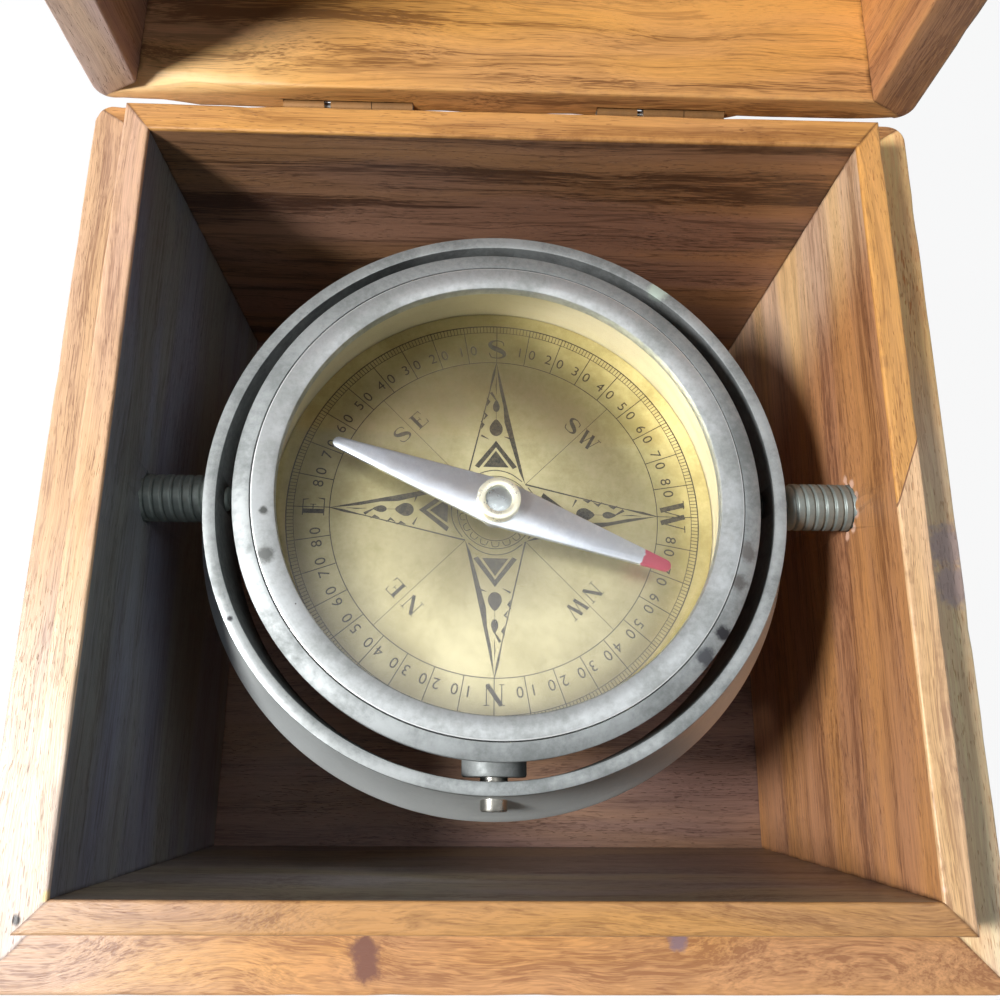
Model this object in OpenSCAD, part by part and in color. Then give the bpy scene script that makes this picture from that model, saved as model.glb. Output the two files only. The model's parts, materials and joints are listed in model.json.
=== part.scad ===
// Boxed mariner's compass: a bowl in a gimbal ring, in a square wooden case with a hinged lid.
// The base's underside is at z = 0 and its centre is the origin. X runs to the right, Y to the hinges.
// The lid stands open at a right angle, and the compass hangs as it came to rest in the photograph.

/* [Case] */
// Width of the well between the lining boards
cavity_w = 93.5; // [90:0.5:120]
// Front to back size of the well
cavity_d = 93.2; // [90:0.1:120]
// Depth of the well from the top of the lip to the floor
cavity_h = 63.75; // [58:0.25:90]
// Thickness of the front and side lining boards, which is the width of the lip
lining_t = 3.4; // [2.4:0.1:5]
// Thickness of the back lining board
lining_back_t = 4; // [2.4:0.1:5]
// How far the lining stands above the outer boards
lip_h = 6.8; // [3:0.1:10]
// Thickness of the left and right outer boards
side_board_t = 7; // [6:0.1:10]
// Thickness of the front outer board
front_board_t = 7; // [5:0.1:10]
// Thickness of the back outer board
back_board_t = 4.8; // [4.5:0.1:10]
// Thickness of the base panel
base_t = 6.25; // [4:0.25:10]
// Radius of the upright corners of the case and the lid
corner_r = 2.5; // [0.5:0.1:4]

/* [Lid] */
// Height of the lid when it is shut, with its top board
lid_h = 30; // [26:0.5:45]
// Thickness of the top board
lid_top_t = 6; // [4:0.5:9]
// Thickness of the lid's back rail
lid_back_t = 3.6; // [3:0.1:4.1]
// Gap between the lip and the lid's front and side rails
lid_gap = 0.5; // [0.4:0.05:0.8]
// How far the lid has slid to the right on its hinge pins
lid_shift = 0.4; // [0:0.05:0.4]
// How far the lid stands open
lid_open = 90; // [0:1:90]

/* [Hinges] */
// Distance of each hinge's middle from the middle of the case
hinge_x = 22; // [16:1:40]
// Length of a hinge
hinge_l = 18; // [14:1:24]
// Width of a hinge leaf from the joint of the case and the lid
leaf_w = 9; // [7:0.5:12]
// Thickness of a hinge leaf
leaf_t = 0.6; // [0.6:0.1:1.2]
// Outer radius of the knuckles
knuckle_r = 1.2; // [1:0.05:1.5]
// Radius of the hinge pins
hinge_pin_r = 0.6; // [0.4:0.05:0.7]
// Side gap between two knuckles
knuckle_gap = 0.5; // [0.45:0.05:0.8]
// How far the stop reaches out under the lid's leaf
stop_reach = 3.4; // [2.4:0.1:5]
// Radius of a screw's shank
screw_r = 0.7; // [0.5:0.05:0.9]
// Radius of a screw's countersunk head
screw_head_r = 1.4; // [1.2:0.05:1.7]
// Length of a screw under its leaf
screw_l = 2.2; // [1.5:0.1:2.8]
// Distance of a screw from the end of its leaf
screw_inset = 3.6; // [2.4:0.1:5]

/* [Studs] */
// Radius of the threaded studs
stud_r = 3.15; // [2.5:0.05:3.5]
// Gap between a stud and the ring when the ring hangs in the middle
stud_gap = 0.65; // [0.65:0.05:1.5]
// How far each stud is screwed into the outer board
stud_bite = 4.6; // [2:0.1:5]
// Radius of the pivots on the studs
stud_pivot_r = 1.6; // [1.2:0.05:2]
// How far short of the ring's inner face each pivot ends
stud_pivot_short = 0.25; // [-0.4:0.05:0.6]
// Width of the bevel on a stud's end
stud_bevel = 0.5; // [0.3:0.05:1]

/* [Gimbal ring] */
// Drop of the gimbal's axis below the top of the lip
gimbal_drop = 15.05; // [14:0.05:20]
// How far the gimbal's axis lies behind the middle of the well
gimbal_y = 0.7; // [-2:0.1:2]
// Where the ring has slid to along the studs
ring_slide = -0.6; // [-0.6:0.05:0.6]
// How far the ring is tipped about the studs
ring_tip = -1.8; // [-5:0.1:5]
// Gap between the bowl's rim and the ring
ring_gap = 3.05; // [2.8:0.05:3.4]
// Width of the ring's top
ring_top_t = 1.65; // [1.2:0.05:2.2]
// How far the skirt flares out past the ring's top
skirt_flare = 3.2; // [1:0.1:3.6]
// Height of the ring's top above its axis
ring_up = 5.5; // [4.5:0.1:7]
// Depth of the ring's lower edge below its axis
ring_down = 6.1; // [4.5:0.1:7]
// How late the skirt flares: 1 is a straight cone
skirt_curve = 2.2; // [1.6:0.1:3]
// Thickness of the ring's wall where it is faced flat for the studs
ring_face_t = 1.9; // [1.8:0.05:2.4]
// Clearance all round a stud's end in that facing
stud_face_gap = 0.25; // [0.15:0.05:0.5]
// Clearance all round a pivot in its bore
pivot_gap = 0.05; // [0.03:0.01:0.08]

/* [Bowl] */
// Where the bowl has slid to along its pivots
bowl_slide = -1; // [-1:0.05:1]
// How far the bowl is tipped about its pivots
bowl_tip = 2.9; // [-5:0.1:5]
// Outer radius of the bowl's wall
bowl_r = 31.5; // [28:0.1:35]
// Thickness of the bowl's wall above the dial
bowl_side_t = 1.7; // [1.5:0.05:2.2]
// How far the rim stands out from the bowl's wall
rim_proud = 1.2; // [0.8:0.05:1.4]
// Height of the rim's outer edge above the pivots
rim_up = 9.8; // [9.4:0.1:10]
// Height of the rim
rim_h = 2.6; // [2:0.1:3]
// Fall of the rim's bevelled top from its inner to its outer edge
rim_fall = 0.55; // [0.2:0.05:1]
// Depth below the pivots where the bowl's wall starts to curve in
bowl_straight = 8; // [5:0.5:10]
// Depth of the bowl's underside below the pivots
bowl_down = 24; // [20:0.5:25]
// Thickness of the rounded bottom
bowl_wall = 2; // [1.6:0.1:3]
// Radius of the flat under the bowl
bowl_foot_r = 12; // [8:0.5:15]
// Radius of the bosses that take the bowl's pivots
boss_r = 4; // [3:0.1:4.4]
// Gap between a boss and the ring when the bowl hangs in the middle
boss_gap = 1.55; // [1.3:0.05:1.8]
// Radius of the bowl's pivots
bowl_pivot_r = 1.7; // [1.3:0.05:2]
// Wall left in the bowl behind each pivot's bore
boss_floor = 1.2; // [1:0.1:1.3]
// End gap between a pivot and its bore when the bowl hangs in the middle
bowl_pivot_short = 1.2; // [1.1:0.05:1.5]
// How far the bowl's pivots stand out of the ring
bowl_pivot_proud = 1.2; // [0.4:0.1:2]
// Gap around the weight in the bottom of the bowl
ballast_gap = 0.5; // [0.2:0.1:2]
// Height of the weight
ballast_h = 6; // [3:0.5:8]

/* [Dial and glass] */
// Depth of the dial's face below the pivots
dial_down = 1.45; // [0.5:0.05:3]
// Thickness of the dial
dial_t = 1; // [0.6:0.1:1.6]
// Width of the ledge that the dial lies on
dial_ledge = 2; // [1:0.1:3]
// Thickness of the glass
glass_t = 1.8; // [1.4:0.1:2.2]
// Depth of the seat of the bezel below the bowl's top
bezel_h = 1.85; // [1.4:0.05:2.2]
// Width of the ledge that the glass lies on
glass_ledge = 0.65; // [0.5:0.05:1]
// Width of the bezel ring
bezel_w = 2.85; // [2:0.05:3.4]
// Fall of the bezel's inner edge below its outer edge
bezel_fall = 0.25; // [0.1:0.05:0.6]
// Gap around the dial, the glass and the bezel in their seats
seat_gap = 0.1; // [0.05:0.01:0.15]

/* [Needle] */
// Direction of the needle's red end, turned from the right
needle_turn = -19.9; // [-180:0.1:180]
// Reach of the red end from the pivot
needle_red_l = 23.9; // [20:0.1:26]
// Reach of the plain end from the pivot
needle_plain_l = 23.1; // [20:0.1:26]
// Width of the needle at the middle
needle_w = 6.4; // [5:0.1:8]
// Width of the needle's round tips
needle_tip_w = 1.6; // [1:0.1:2.4]
// Thickness of the needle
needle_t = 0.5; // [0.3:0.05:0.8]
// Height of the needle's upper face above the dial
needle_up = 4.55; // [4:0.05:5]
// Radius of the brass cap above the needle
cap_r = 2.85; // [2.4:0.05:3.1]
// Height of the cap above the needle
cap_up = 1.75; // [1.2:0.05:2]
// Radius of the bearing disc in the cap
bearing_r = 1.7; // [1.5:0.05:1.9]
// Depth of the bearing disc below the cap's top
bearing_drop = 0.4; // [0.2:0.05:0.5]
// Thickness of the bearing disc
bearing_t = 0.7; // [0.5:0.05:0.9]
// Radius of the post's shank
post_r = 0.9; // [0.6:0.05:1]
// Radius of the post's foot on the dial
post_foot_r = 2.2; // [1.4:0.1:3]

/* [Hidden] */

$fn = 96;

// A cut runs past the face that it opens by this much
over = 1;

// Outer size of the case, and the middle of the well, which lies behind the middle of the case
lip_w = cavity_w + 2 * lining_t;
lip_d = cavity_d + lining_t + lining_back_t;
outer_w = lip_w + 2 * side_board_t;
outer_d = lip_d + front_board_t + back_board_t;
lip_y = (front_board_t - back_board_t) / 2;
well_y = lip_y + (lining_t - lining_back_t) / 2;
lip_top_z = base_t + cavity_h;
shelf_z = lip_top_z - lip_h;
back_face_y = outer_d / 2;

// Lid rails
lid_side_t = side_board_t - lid_gap;
lid_front_t = front_board_t - lid_gap;
rail_h = lid_h - lid_top_t;

// Hinge axis, on the outer face of the leaves, at the joint of the case and the lid
hinge_y = back_face_y + leaf_t;
hinge_z = shelf_z;
knuckle_l = (hinge_l - 2 * knuckle_gap) / 3;
knuckle_notch = 0.25;
plate_gap = knuckle_r + knuckle_notch;
screw_row = (leaf_w + plate_gap) / 2;
screw_head_h = screw_head_r - screw_r;
stop_t = 1.4;
stop_gap = 0.05;
hinge_run = 0.05;

// Gimbal
axis_y = well_y + gimbal_y;
axis_z = lip_top_z - gimbal_drop;
rim_r = bowl_r + rim_proud;
ring_bore_r = rim_r + ring_gap;
ring_top_r = ring_bore_r + ring_top_t;
ring_skirt_r = ring_top_r + skirt_flare;
ring_h = ring_up + ring_down;
skirt_steps = 12;
stud_face = ring_bore_r + ring_face_t;
stud_shoulder = stud_face + stud_gap;
stud_pivot_end = ring_bore_r + stud_pivot_short;
bowl_pivot_out = skirt_r(ring_up / ring_h) + bowl_pivot_proud;

// Bowl profile heights, from the pivots
bowl_top = rim_up + rim_fall;
glass_top = bowl_top - bezel_h;
glass_seat = glass_top - glass_t;
dial_under = -dial_down - dial_t;
curve_h = bowl_down - bowl_straight;
curve_steps = 14;
bowl_bore_r = bowl_r - bowl_side_t;
bezel_r = bowl_bore_r + glass_ledge;
bezel_bore_r = bezel_r - bezel_w;
recess_r = bezel_r + seat_gap;
boss_face = ring_bore_r - boss_gap;
boss_bore_end = bowl_bore_r + boss_floor;
bowl_pivot_in = boss_bore_end + bowl_pivot_short;
ballast_r = bowl_foot_r - ballast_gap;

// Needle heights, from the pivots
needle_top = needle_up - dial_down;
cap_top = needle_top + cap_up;
bearing_top = cap_top - bearing_drop;
bearing_under = bearing_top - bearing_t;
rivet_r = 2.3;
rivet_h = 0.4;
spigot_r = 2;
cup_r = 1.3;
post_foot_h = 0.8;
post_tail = 1.5;
point_r = 0.1;
point_gap = 0.05;

wood = "#a8703c";
lining_wood = "#7a4a2a";
nickel = "#9a9c9a";
brass = "#c8a850";
steel = "#8a8c90";
lead = "#5c5e60";
jewel = "#b8bcc0";
clear_glass = [0.85, 0.9, 0.9, 0.3];

// Places

module at_gimbal() {
    translate([ring_slide, axis_y, axis_z]) rotate([ring_tip, 0, 0]) children();
}

module at_bowl() {
    at_gimbal() translate([0, bowl_slide, 0]) rotate([0, bowl_tip, 0]) children();
}

module at_needle() {
    at_bowl() rotate([0, 0, needle_turn]) children();
}

// Turns the shut lid about the hinge axis to where it stands open
module opened() {
    translate([lid_shift, hinge_y, hinge_z]) rotate([-lid_open, 0, 0])
        translate([0, -hinge_y, -hinge_z]) children();
}

// Woodwork

module rounded_block(w, d, h, r) {
    translate([-w / 2 + r, -d / 2, 0]) cube([w - 2 * r, d, h]);
    translate([-w / 2, -d / 2 + r, 0]) cube([w, d - 2 * r, h]);
    for (x = [-1, 1], y = [-1, 1])
        translate([x * (w / 2 - r), y * (d / 2 - r), 0]) cylinder(h = h, r = r);
}

// A board between an outer and an inner rectangle, cut to the mitres at both ends.
// side is 0 for the front, 1 for the right, 2 for the back and 3 for the left.
module mitred(side, ow, od, iw, id, iy, h) {
    outer = [[-ow / 2, -od / 2], [ow / 2, -od / 2], [ow / 2, od / 2], [-ow / 2, od / 2]];
    inner = [[-iw / 2, iy - id / 2], [iw / 2, iy - id / 2], [iw / 2, iy + id / 2], [-iw / 2, iy + id / 2]];
    next = (side + 1) % 4;
    linear_extrude(h) polygon([outer[side], outer[next], inner[next], inner[side]]);
}

module outer_board(side) {
    translate([0, 0, base_t]) intersection() {
        mitred(side, outer_w, outer_d, lip_w, lip_d, lip_y, shelf_z - base_t);
        rounded_block(outer_w, outer_d, shelf_z - base_t, corner_r);
    }
}

module lining_board(side) {
    translate([0, lip_y, base_t]) mitred(side, lip_w, lip_d, cavity_w, cavity_d, well_y - lip_y, cavity_h);
}

module stud_hole(dir) {
    translate([0, axis_y, axis_z]) rotate([0, dir * 90, 0]) cylinder(h = lip_w / 2 + stud_bite, r = stud_r);
}

// The knuckles sit a little into the wood, in a round groove that also leaves room for the lid's play
module knuckle_groove() {
    end_gap = knuckle_notch + lid_shift;
    for (side = [-1, 1])
        along_hinge(side * hinge_x - hinge_l / 2 - end_gap)
            cylinder(h = hinge_l + 2 * end_gap, r = plate_gap);
}

module outer_front() {
    color(wood) outer_board(0);
}

module outer_right() {
    color(wood) difference() {
        outer_board(1);
        stud_hole(1);
    }
}

module outer_back() {
    color(wood) difference() {
        outer_board(2);
        knuckle_groove();
        screws(-1);
    }
}

module outer_left() {
    color(wood) difference() {
        outer_board(3);
        stud_hole(-1);
    }
}

module lining_front() {
    color(lining_wood) lining_board(0);
}

module lining_right() {
    color(lining_wood) difference() {
        lining_board(1);
        stud_hole(1);
    }
}

module lining_back() {
    color(lining_wood) lining_board(2);
}

module lining_left() {
    color(lining_wood) difference() {
        lining_board(3);
        stud_hole(-1);
    }
}

module base_panel() {
    color(wood) rounded_block(outer_w, outer_d, base_t, corner_r);
}

// Lid, drawn shut on the shelf

module rail(side) {
    inner_w = outer_w - 2 * lid_side_t;
    inner_d = outer_d - lid_front_t - lid_back_t;
    inner_y = (lid_front_t - lid_back_t) / 2;
    translate([0, 0, shelf_z]) intersection() {
        mitred(side, outer_w, outer_d, inner_w, inner_d, inner_y, rail_h);
        rounded_block(outer_w, outer_d, rail_h, corner_r);
    }
}

module lid_front() {
    color(wood) opened() rail(0);
}

module lid_right() {
    color(wood) opened() rail(1);
}

module lid_back() {
    color(wood) opened() difference() {
        rail(2);
        knuckle_groove();
        screws(1);
    }
}

module lid_left() {
    color(wood) opened() rail(3);
}

module lid_top() {
    color(wood) opened() translate([0, 0, shelf_z + rail_h])
        rounded_block(outer_w, outer_d, lid_top_t, corner_r);
}

// Hinges

// Sets a piece that runs along +Z on the hinge axis, to run along +X from the given place
module along_hinge(from) {
    translate([from, hinge_y, hinge_z]) rotate([0, 90, 0]) children();
}

// One countersunk screw, its head's face at y = 0, pointing into the wood along -Y
module screw() {
    rotate([90, 0, 0]) {
        cylinder(h = leaf_t + screw_l, r = screw_r);
        cylinder(h = screw_head_h, r1 = screw_head_r, r2 = screw_r);
    }
}

// The screws of both hinges, below the axis for the case and above it for the lid
module screws(up) {
    reach = hinge_l / 2 - screw_inset;
    for (side = [-1, 1], end = [-1, 1])
        translate([side * hinge_x + end * reach, hinge_y, hinge_z + up * screw_row]) screw();
}

// The outer knuckles hold the pin. A step under each one stops the lid's leaf when the lid stands upright.
module box_leaf(side) {
    left = side * hinge_x - hinge_l / 2;
    plate_top = hinge_z - plate_gap;
    difference() {
        union() {
            translate([left, back_face_y, hinge_z - leaf_w]) cube([hinge_l, leaf_t, leaf_w - plate_gap]);
            for (x = [left, left + hinge_l - knuckle_l]) {
                translate([x, back_face_y, plate_top - over]) cube([knuckle_l, leaf_t, plate_gap + over]);
                translate([x, back_face_y, hinge_z - stop_t])
                    cube([knuckle_l, leaf_t + stop_reach, stop_t - stop_gap]);
                along_hinge(x) cylinder(h = knuckle_l, r = knuckle_r);
            }
        }
        along_hinge(left - over) cylinder(h = hinge_l + 2 * over, r = hinge_pin_r);
        along_hinge(left + knuckle_l) cylinder(h = knuckle_l + 2 * knuckle_gap, r = plate_gap);
        screws(-1);
    }
}

module lid_leaf(side) {
    left = side * hinge_x - hinge_l / 2;
    middle = left + knuckle_l + knuckle_gap;
    plate_under = hinge_z + plate_gap;
    difference() {
        union() {
            translate([left, back_face_y, plate_under]) cube([hinge_l, leaf_t, leaf_w - plate_gap]);
            translate([middle, back_face_y, hinge_z]) cube([knuckle_l, leaf_t, plate_gap + over]);
            along_hinge(middle) cylinder(h = knuckle_l, r = knuckle_r);
        }
        along_hinge(left - over) cylinder(h = hinge_l + 2 * over, r = hinge_pin_r + hinge_run);
        screws(1);
    }
}

module hinge_pin(side) {
    along_hinge(side * hinge_x - hinge_l / 2) cylinder(h = hinge_l, r = hinge_pin_r);
}

module box_leaf_left() {
    color(brass) box_leaf(-1);
}

module box_leaf_right() {
    color(brass) box_leaf(1);
}

module lid_leaf_left() {
    color(brass) opened() lid_leaf(-1);
}

module lid_leaf_right() {
    color(brass) opened() lid_leaf(1);
}

module hinge_pin_left() {
    color(steel) hinge_pin(-1);
}

module hinge_pin_right() {
    color(steel) hinge_pin(1);
}

module box_leaf_screws() {
    color(brass) screws(-1);
}

module lid_leaf_screws() {
    color(brass) opened() screws(1);
}

// Studs: a threaded rod with a bevelled end and a turned pivot

module stud(dir) {
    outer_end = lip_w / 2 + stud_bite;
    color(steel) translate([0, axis_y, axis_z]) rotate([0, dir * 90, 0]) {
        translate([0, 0, stud_shoulder + stud_bevel])
            cylinder(h = outer_end - stud_shoulder - stud_bevel, r = stud_r);
        translate([0, 0, stud_shoulder]) cylinder(h = stud_bevel, r1 = stud_r - stud_bevel, r2 = stud_r);
        translate([0, 0, stud_pivot_end])
            cylinder(h = stud_shoulder - stud_pivot_end + over, r = stud_pivot_r);
    }
}

module stud_left() {
    stud(-1);
}

module stud_right() {
    stud(1);
}

// Gimbal ring

// Outer radius of the ring at a share t of the way down from its top
function skirt_r(t) = ring_top_r + (ring_skirt_r - ring_top_r) * pow(t, skirt_curve);

module gimbal_ring() {
    flare = [for (i = [0 : skirt_steps]) [skirt_r(i / skirt_steps), ring_up - ring_h * i / skirt_steps]];
    color(nickel) at_gimbal() difference() {
        rotate_extrude() polygon(concat([[ring_bore_r, -ring_down], [ring_bore_r, ring_up]], flare));
        translate([-ring_skirt_r - over, 0, 0]) rotate([0, 90, 0])
            cylinder(h = 2 * (ring_skirt_r + over), r = stud_pivot_r + pivot_gap);
        for (dir = [-1, 1]) rotate([0, dir * 90, 0]) translate([0, 0, stud_face])
            cylinder(h = ring_skirt_r - stud_face + over, r = stud_r + stud_face_gap);
        translate([0, ring_skirt_r + over, 0]) rotate([90, 0, 0])
            cylinder(h = 2 * (ring_skirt_r + over), r = bowl_pivot_r);
    }
}

module bowl_pivot(dir) {
    color(steel) at_gimbal() rotate([-dir * 90, 0, 0]) translate([0, 0, bowl_pivot_in])
        cylinder(h = bowl_pivot_out - bowl_pivot_in, r = bowl_pivot_r);
}

module bowl_pivot_front() {
    bowl_pivot(-1);
}

module bowl_pivot_back() {
    bowl_pivot(1);
}

// Bowl

// A quarter of an oval from the wall at the given radius down to the flat foot
function oval(r, h, top, foot) =
    let (last = acos(foot / r))
    [for (i = [0 : curve_steps]) let (turn = last * i / curve_steps)
        [r * cos(turn), top - h * sin(turn) / sin(last)]];

module bowl() {
    outside = concat(
        [[rim_r, rim_up], [rim_r, bowl_top - rim_h], [bowl_r, bowl_top - rim_h - (rim_r - bowl_r)]],
        oval(bowl_r, curve_h, -bowl_straight, bowl_foot_r));
    inside = concat(
        [[recess_r, bowl_top], [recess_r, glass_seat], [bowl_bore_r, glass_seat], [bowl_bore_r, dial_under],
         [bowl_bore_r - dial_ledge, dial_under]],
        oval(bowl_bore_r - dial_ledge, curve_h - bowl_wall, -bowl_straight, bowl_foot_r));
    color(nickel) at_bowl() difference() {
        rotate_extrude() polygon(concat([[0, bowl_top], [recess_r, bowl_top]], outside, [[0, -bowl_down]]));
        rotate_extrude() polygon(concat([[0, bowl_top + over], [recess_r, bowl_top + over]], inside,
            [[0, bowl_wall - bowl_down]]));
        rotate([90, 0, 0]) translate([0, 0, -bowl_r - over]) difference() {
            cylinder(h = 2 * (bowl_r + over), r = bowl_pivot_r + pivot_gap);
            translate([0, 0, bowl_r + over - boss_bore_end]) cylinder(h = 2 * boss_bore_end, r = boss_r);
        }
    }
}

// A round boss seated on the bowl's curved wall, bored for the pivot
module boss(dir) {
    color(nickel) at_bowl() difference() {
        rotate([-dir * 90, 0, 0]) translate([0, 0, bowl_bore_r]) difference() {
            cylinder(h = boss_face - bowl_bore_r, r = boss_r);
            translate([0, 0, -over]) cylinder(h = boss_face + 2 * over, r = bowl_pivot_r + pivot_gap);
        }
        cylinder(h = 4 * boss_r, r = bowl_r, center = true);
    }
}

module pivot_boss_front() {
    boss(-1);
}

module pivot_boss_back() {
    boss(1);
}

module ballast_weight() {
    color(lead) at_bowl() translate([0, 0, bowl_wall - bowl_down]) cylinder(h = ballast_h, r = ballast_r);
}

// Dial, glass and bezel

module dial_plate() {
    color(brass) at_bowl() translate([0, 0, dial_under]) difference() {
        cylinder(h = dial_t, r = bowl_bore_r - seat_gap);
        translate([0, 0, -over]) cylinder(h = dial_t + 2 * over, r = post_r);
    }
}

module cover_glass() {
    color(clear_glass) at_bowl() translate([0, 0, glass_seat]) cylinder(h = glass_t, r = bezel_r);
}

module bezel_ring() {
    color(nickel) at_bowl() rotate_extrude() polygon([
        [bezel_bore_r, glass_top], [bezel_r, glass_top], [bezel_r, bowl_top],
        [bezel_bore_r, bowl_top - bezel_fall]]);
}

// Needle and its post

module needle_post() {
    shank_top = needle_top - needle_t - rivet_h - point_gap;
    point = bearing_under - point_gap;
    color(steel) at_bowl() {
        translate([0, 0, dial_under - post_tail])
            cylinder(h = shank_top - dial_under + post_tail, r = post_r);
        translate([0, 0, -dial_down]) cylinder(h = post_foot_h, r1 = post_foot_r, r2 = post_r);
        translate([0, 0, shank_top]) cylinder(h = point - shank_top, r1 = post_r, r2 = point_r);
    }
}

module needle_blade() {
    tip_r = needle_tip_w / 2;
    red = needle_red_l - tip_r;
    plain = needle_plain_l - tip_r;
    color(steel) at_needle() translate([0, 0, needle_top - needle_t]) difference() {
        union() {
            linear_extrude(needle_t) polygon([
                [red, tip_r], [0, needle_w / 2], [-plain, tip_r],
                [-plain, -tip_r], [0, -needle_w / 2], [red, -tip_r]]);
            translate([red, 0, 0]) cylinder(h = needle_t, r = tip_r);
            translate([-plain, 0, 0]) cylinder(h = needle_t, r = tip_r);
        }
        translate([0, 0, -over]) cylinder(h = needle_t + 2 * over, r = spigot_r);
    }
}

module needle_cap() {
    rivet_z = needle_top - needle_t - rivet_h;
    color(brass) at_needle() rotate_extrude() polygon([
        [cup_r, rivet_z], [rivet_r, rivet_z], [rivet_r, rivet_z + rivet_h], [spigot_r, rivet_z + rivet_h],
        [spigot_r, needle_top], [cap_r, needle_top], [cap_r, cap_top], [bearing_r, cap_top],
        [bearing_r, bearing_under], [cup_r, bearing_under]]);
}

module cap_bearing() {
    color(jewel) at_needle() translate([0, 0, bearing_under]) cylinder(h = bearing_t, r = bearing_r);
}

outer_front();
outer_back();
outer_left();
outer_right();
lining_front();
lining_back();
lining_left();
lining_right();
base_panel();
stud_left();
stud_right();
box_leaf_left();
box_leaf_right();
hinge_pin_left();
hinge_pin_right();
box_leaf_screws();
lid_front();
lid_back();
lid_left();
lid_right();
lid_top();
lid_leaf_left();
lid_leaf_right();
lid_leaf_screws();
gimbal_ring();
bowl_pivot_front();
bowl_pivot_back();
bowl();
pivot_boss_front();
pivot_boss_back();
ballast_weight();
dial_plate();
cover_glass();
bezel_ring();
needle_post();
needle_blade();
needle_cap();
cap_bearing();
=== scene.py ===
"""Dresses the boxed compass: worn hardwood boards, tarnished nickel, an engraved dial, glass and a needle.

Pieces are modelled in millimetres in their own frames, then set in place and scaled to metres.
"""

import json
import math

import bmesh
import bpy
from mathutils import Euler, Matrix, Vector, noise


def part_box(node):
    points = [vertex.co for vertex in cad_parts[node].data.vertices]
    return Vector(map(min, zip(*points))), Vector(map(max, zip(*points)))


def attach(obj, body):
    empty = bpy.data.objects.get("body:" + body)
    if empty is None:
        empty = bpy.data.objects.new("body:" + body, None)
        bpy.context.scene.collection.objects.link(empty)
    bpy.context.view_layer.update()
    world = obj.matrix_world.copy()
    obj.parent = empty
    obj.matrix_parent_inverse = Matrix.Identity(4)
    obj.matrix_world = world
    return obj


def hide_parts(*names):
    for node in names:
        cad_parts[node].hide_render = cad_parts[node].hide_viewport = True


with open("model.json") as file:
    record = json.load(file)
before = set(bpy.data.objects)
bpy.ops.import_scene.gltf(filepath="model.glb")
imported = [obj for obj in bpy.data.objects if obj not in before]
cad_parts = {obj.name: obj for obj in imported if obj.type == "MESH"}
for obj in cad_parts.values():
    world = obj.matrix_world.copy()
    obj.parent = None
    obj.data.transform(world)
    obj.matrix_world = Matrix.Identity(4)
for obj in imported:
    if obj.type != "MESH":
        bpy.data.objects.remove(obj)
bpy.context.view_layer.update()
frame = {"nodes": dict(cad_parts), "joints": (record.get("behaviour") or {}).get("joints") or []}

MM = 0.001
FULL_TURN = 2 * math.pi
UP = Vector((0, 0, 1))
ZERO = (0.0, 0.0, 0.0)
WHITE = (1.0, 1.0, 1.0, 1.0)

# Sizes in millimetres that the frame doesn't give

# Boards
EDGE_ROUND = 0.3
CORNER_ROUND = 2.5
SLICE = 2.6
WEAR_INSETS = (0.55, 1.6)
MITRE_INSETS = (0.12, 0.32)
WEAR_REACH = 1.5
JOINT_REACH = 0.3
RUB_REACH = 0.6
RUB_DEPTH = 0.22
MITRE_CLEAR = 0.4
MOUTH_DEPTH = 0.3
MOUTH_WIDTH = 0.3
KNUCKLE_GROOVE = 1.45
GROOVE_REACH = 9.1
HINGE_X = 22.0
CUT_NEARNESS = 1e-5
CUTTER_REACH = 50

# Studs
STUD_PIVOT_RADIUS = 1.6
STUD_BEVEL = 0.5
STUD_SHOULDER = 38.3
SHOULDER_GAP = 0.01
THREAD_PITCH = 1.27
THREAD_DEPTH = 0.32

# Ring
RING_TOP_RADIUS = 37.4
SKIRT_CURVE = 2.2
STUD_FACING = 37.65
FACING_GAP = 0.25
PIVOT_GAP = 0.05

# Bowl and bezel
RIM_HEIGHT = 2.6
RIM_FALL = 0.55
BOWL_WALL_RADIUS = 31.5
BOWL_BORE_RADIUS = 29.8
BOWL_STRAIGHT = 8.0
BOWL_WALL = 2.0
BOWL_FOOT_RADIUS = 12.0
DIAL_LEDGE = 2.0
SEAT_GAP = 0.1
BEZEL_FALL = 0.25

# Needle
NEEDLE_TURN = math.radians(-19.9)
NEEDLE_WIDTH = 6.4
NEEDLE_TIP_WIDTH = 1.6
SHOULDER_REACH = 1.4
NEEDLE_BEVEL = 0.24
RED_TIP = 3.7
CAP_FOOT_RADIUS = 2.3

# Print on the dial
PRINT_RISE = 0.012
DEGREE_RADIUS = 27.76
TICK_RADIUS = 26.8
BAND_RADIUS = 22.1
DIGIT_RADIUS = 23.95
DIGIT_HEIGHT = 1.45
LETTER_RADIUS = 24.2
SMALL_LETTER_RADIUS = 16.7
STAR_NOTCH_RADIUS = 5.7

# Counts of steps round a circle or along a curve
ROUND_STEPS = 288
OVAL_STEPS = 20
SKIRT_STEPS = 20
CURVE_STEPS = 5


def srgb(red, green, blue):
    """A linear colour from its usual 0 to 255 values."""
    shares = [value / 255 for value in (red, green, blue)]
    linear = [share / 12.92 if share <= 0.04045 else ((share + 0.055) / 1.055) ** 2.4 for share in shares]
    return (*linear, 1.0)


# Places

joints = {joint["name"]: joint for joint in frame["joints"]}


def joint_point(name):
    return Vector(joints[name]["pos_m"]) / MM


def joint_axis(name):
    return Vector(joints[name]["axis"]).normalized()


def place_at(origin, x_axis, y_axis):
    """The matrix of a frame with that origin and those two axes."""
    z_axis = x_axis.cross(y_axis).normalized()
    axes = Matrix((x_axis, y_axis, z_axis)).transposed().to_4x4()
    return Matrix.Translation(origin) @ axes


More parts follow.
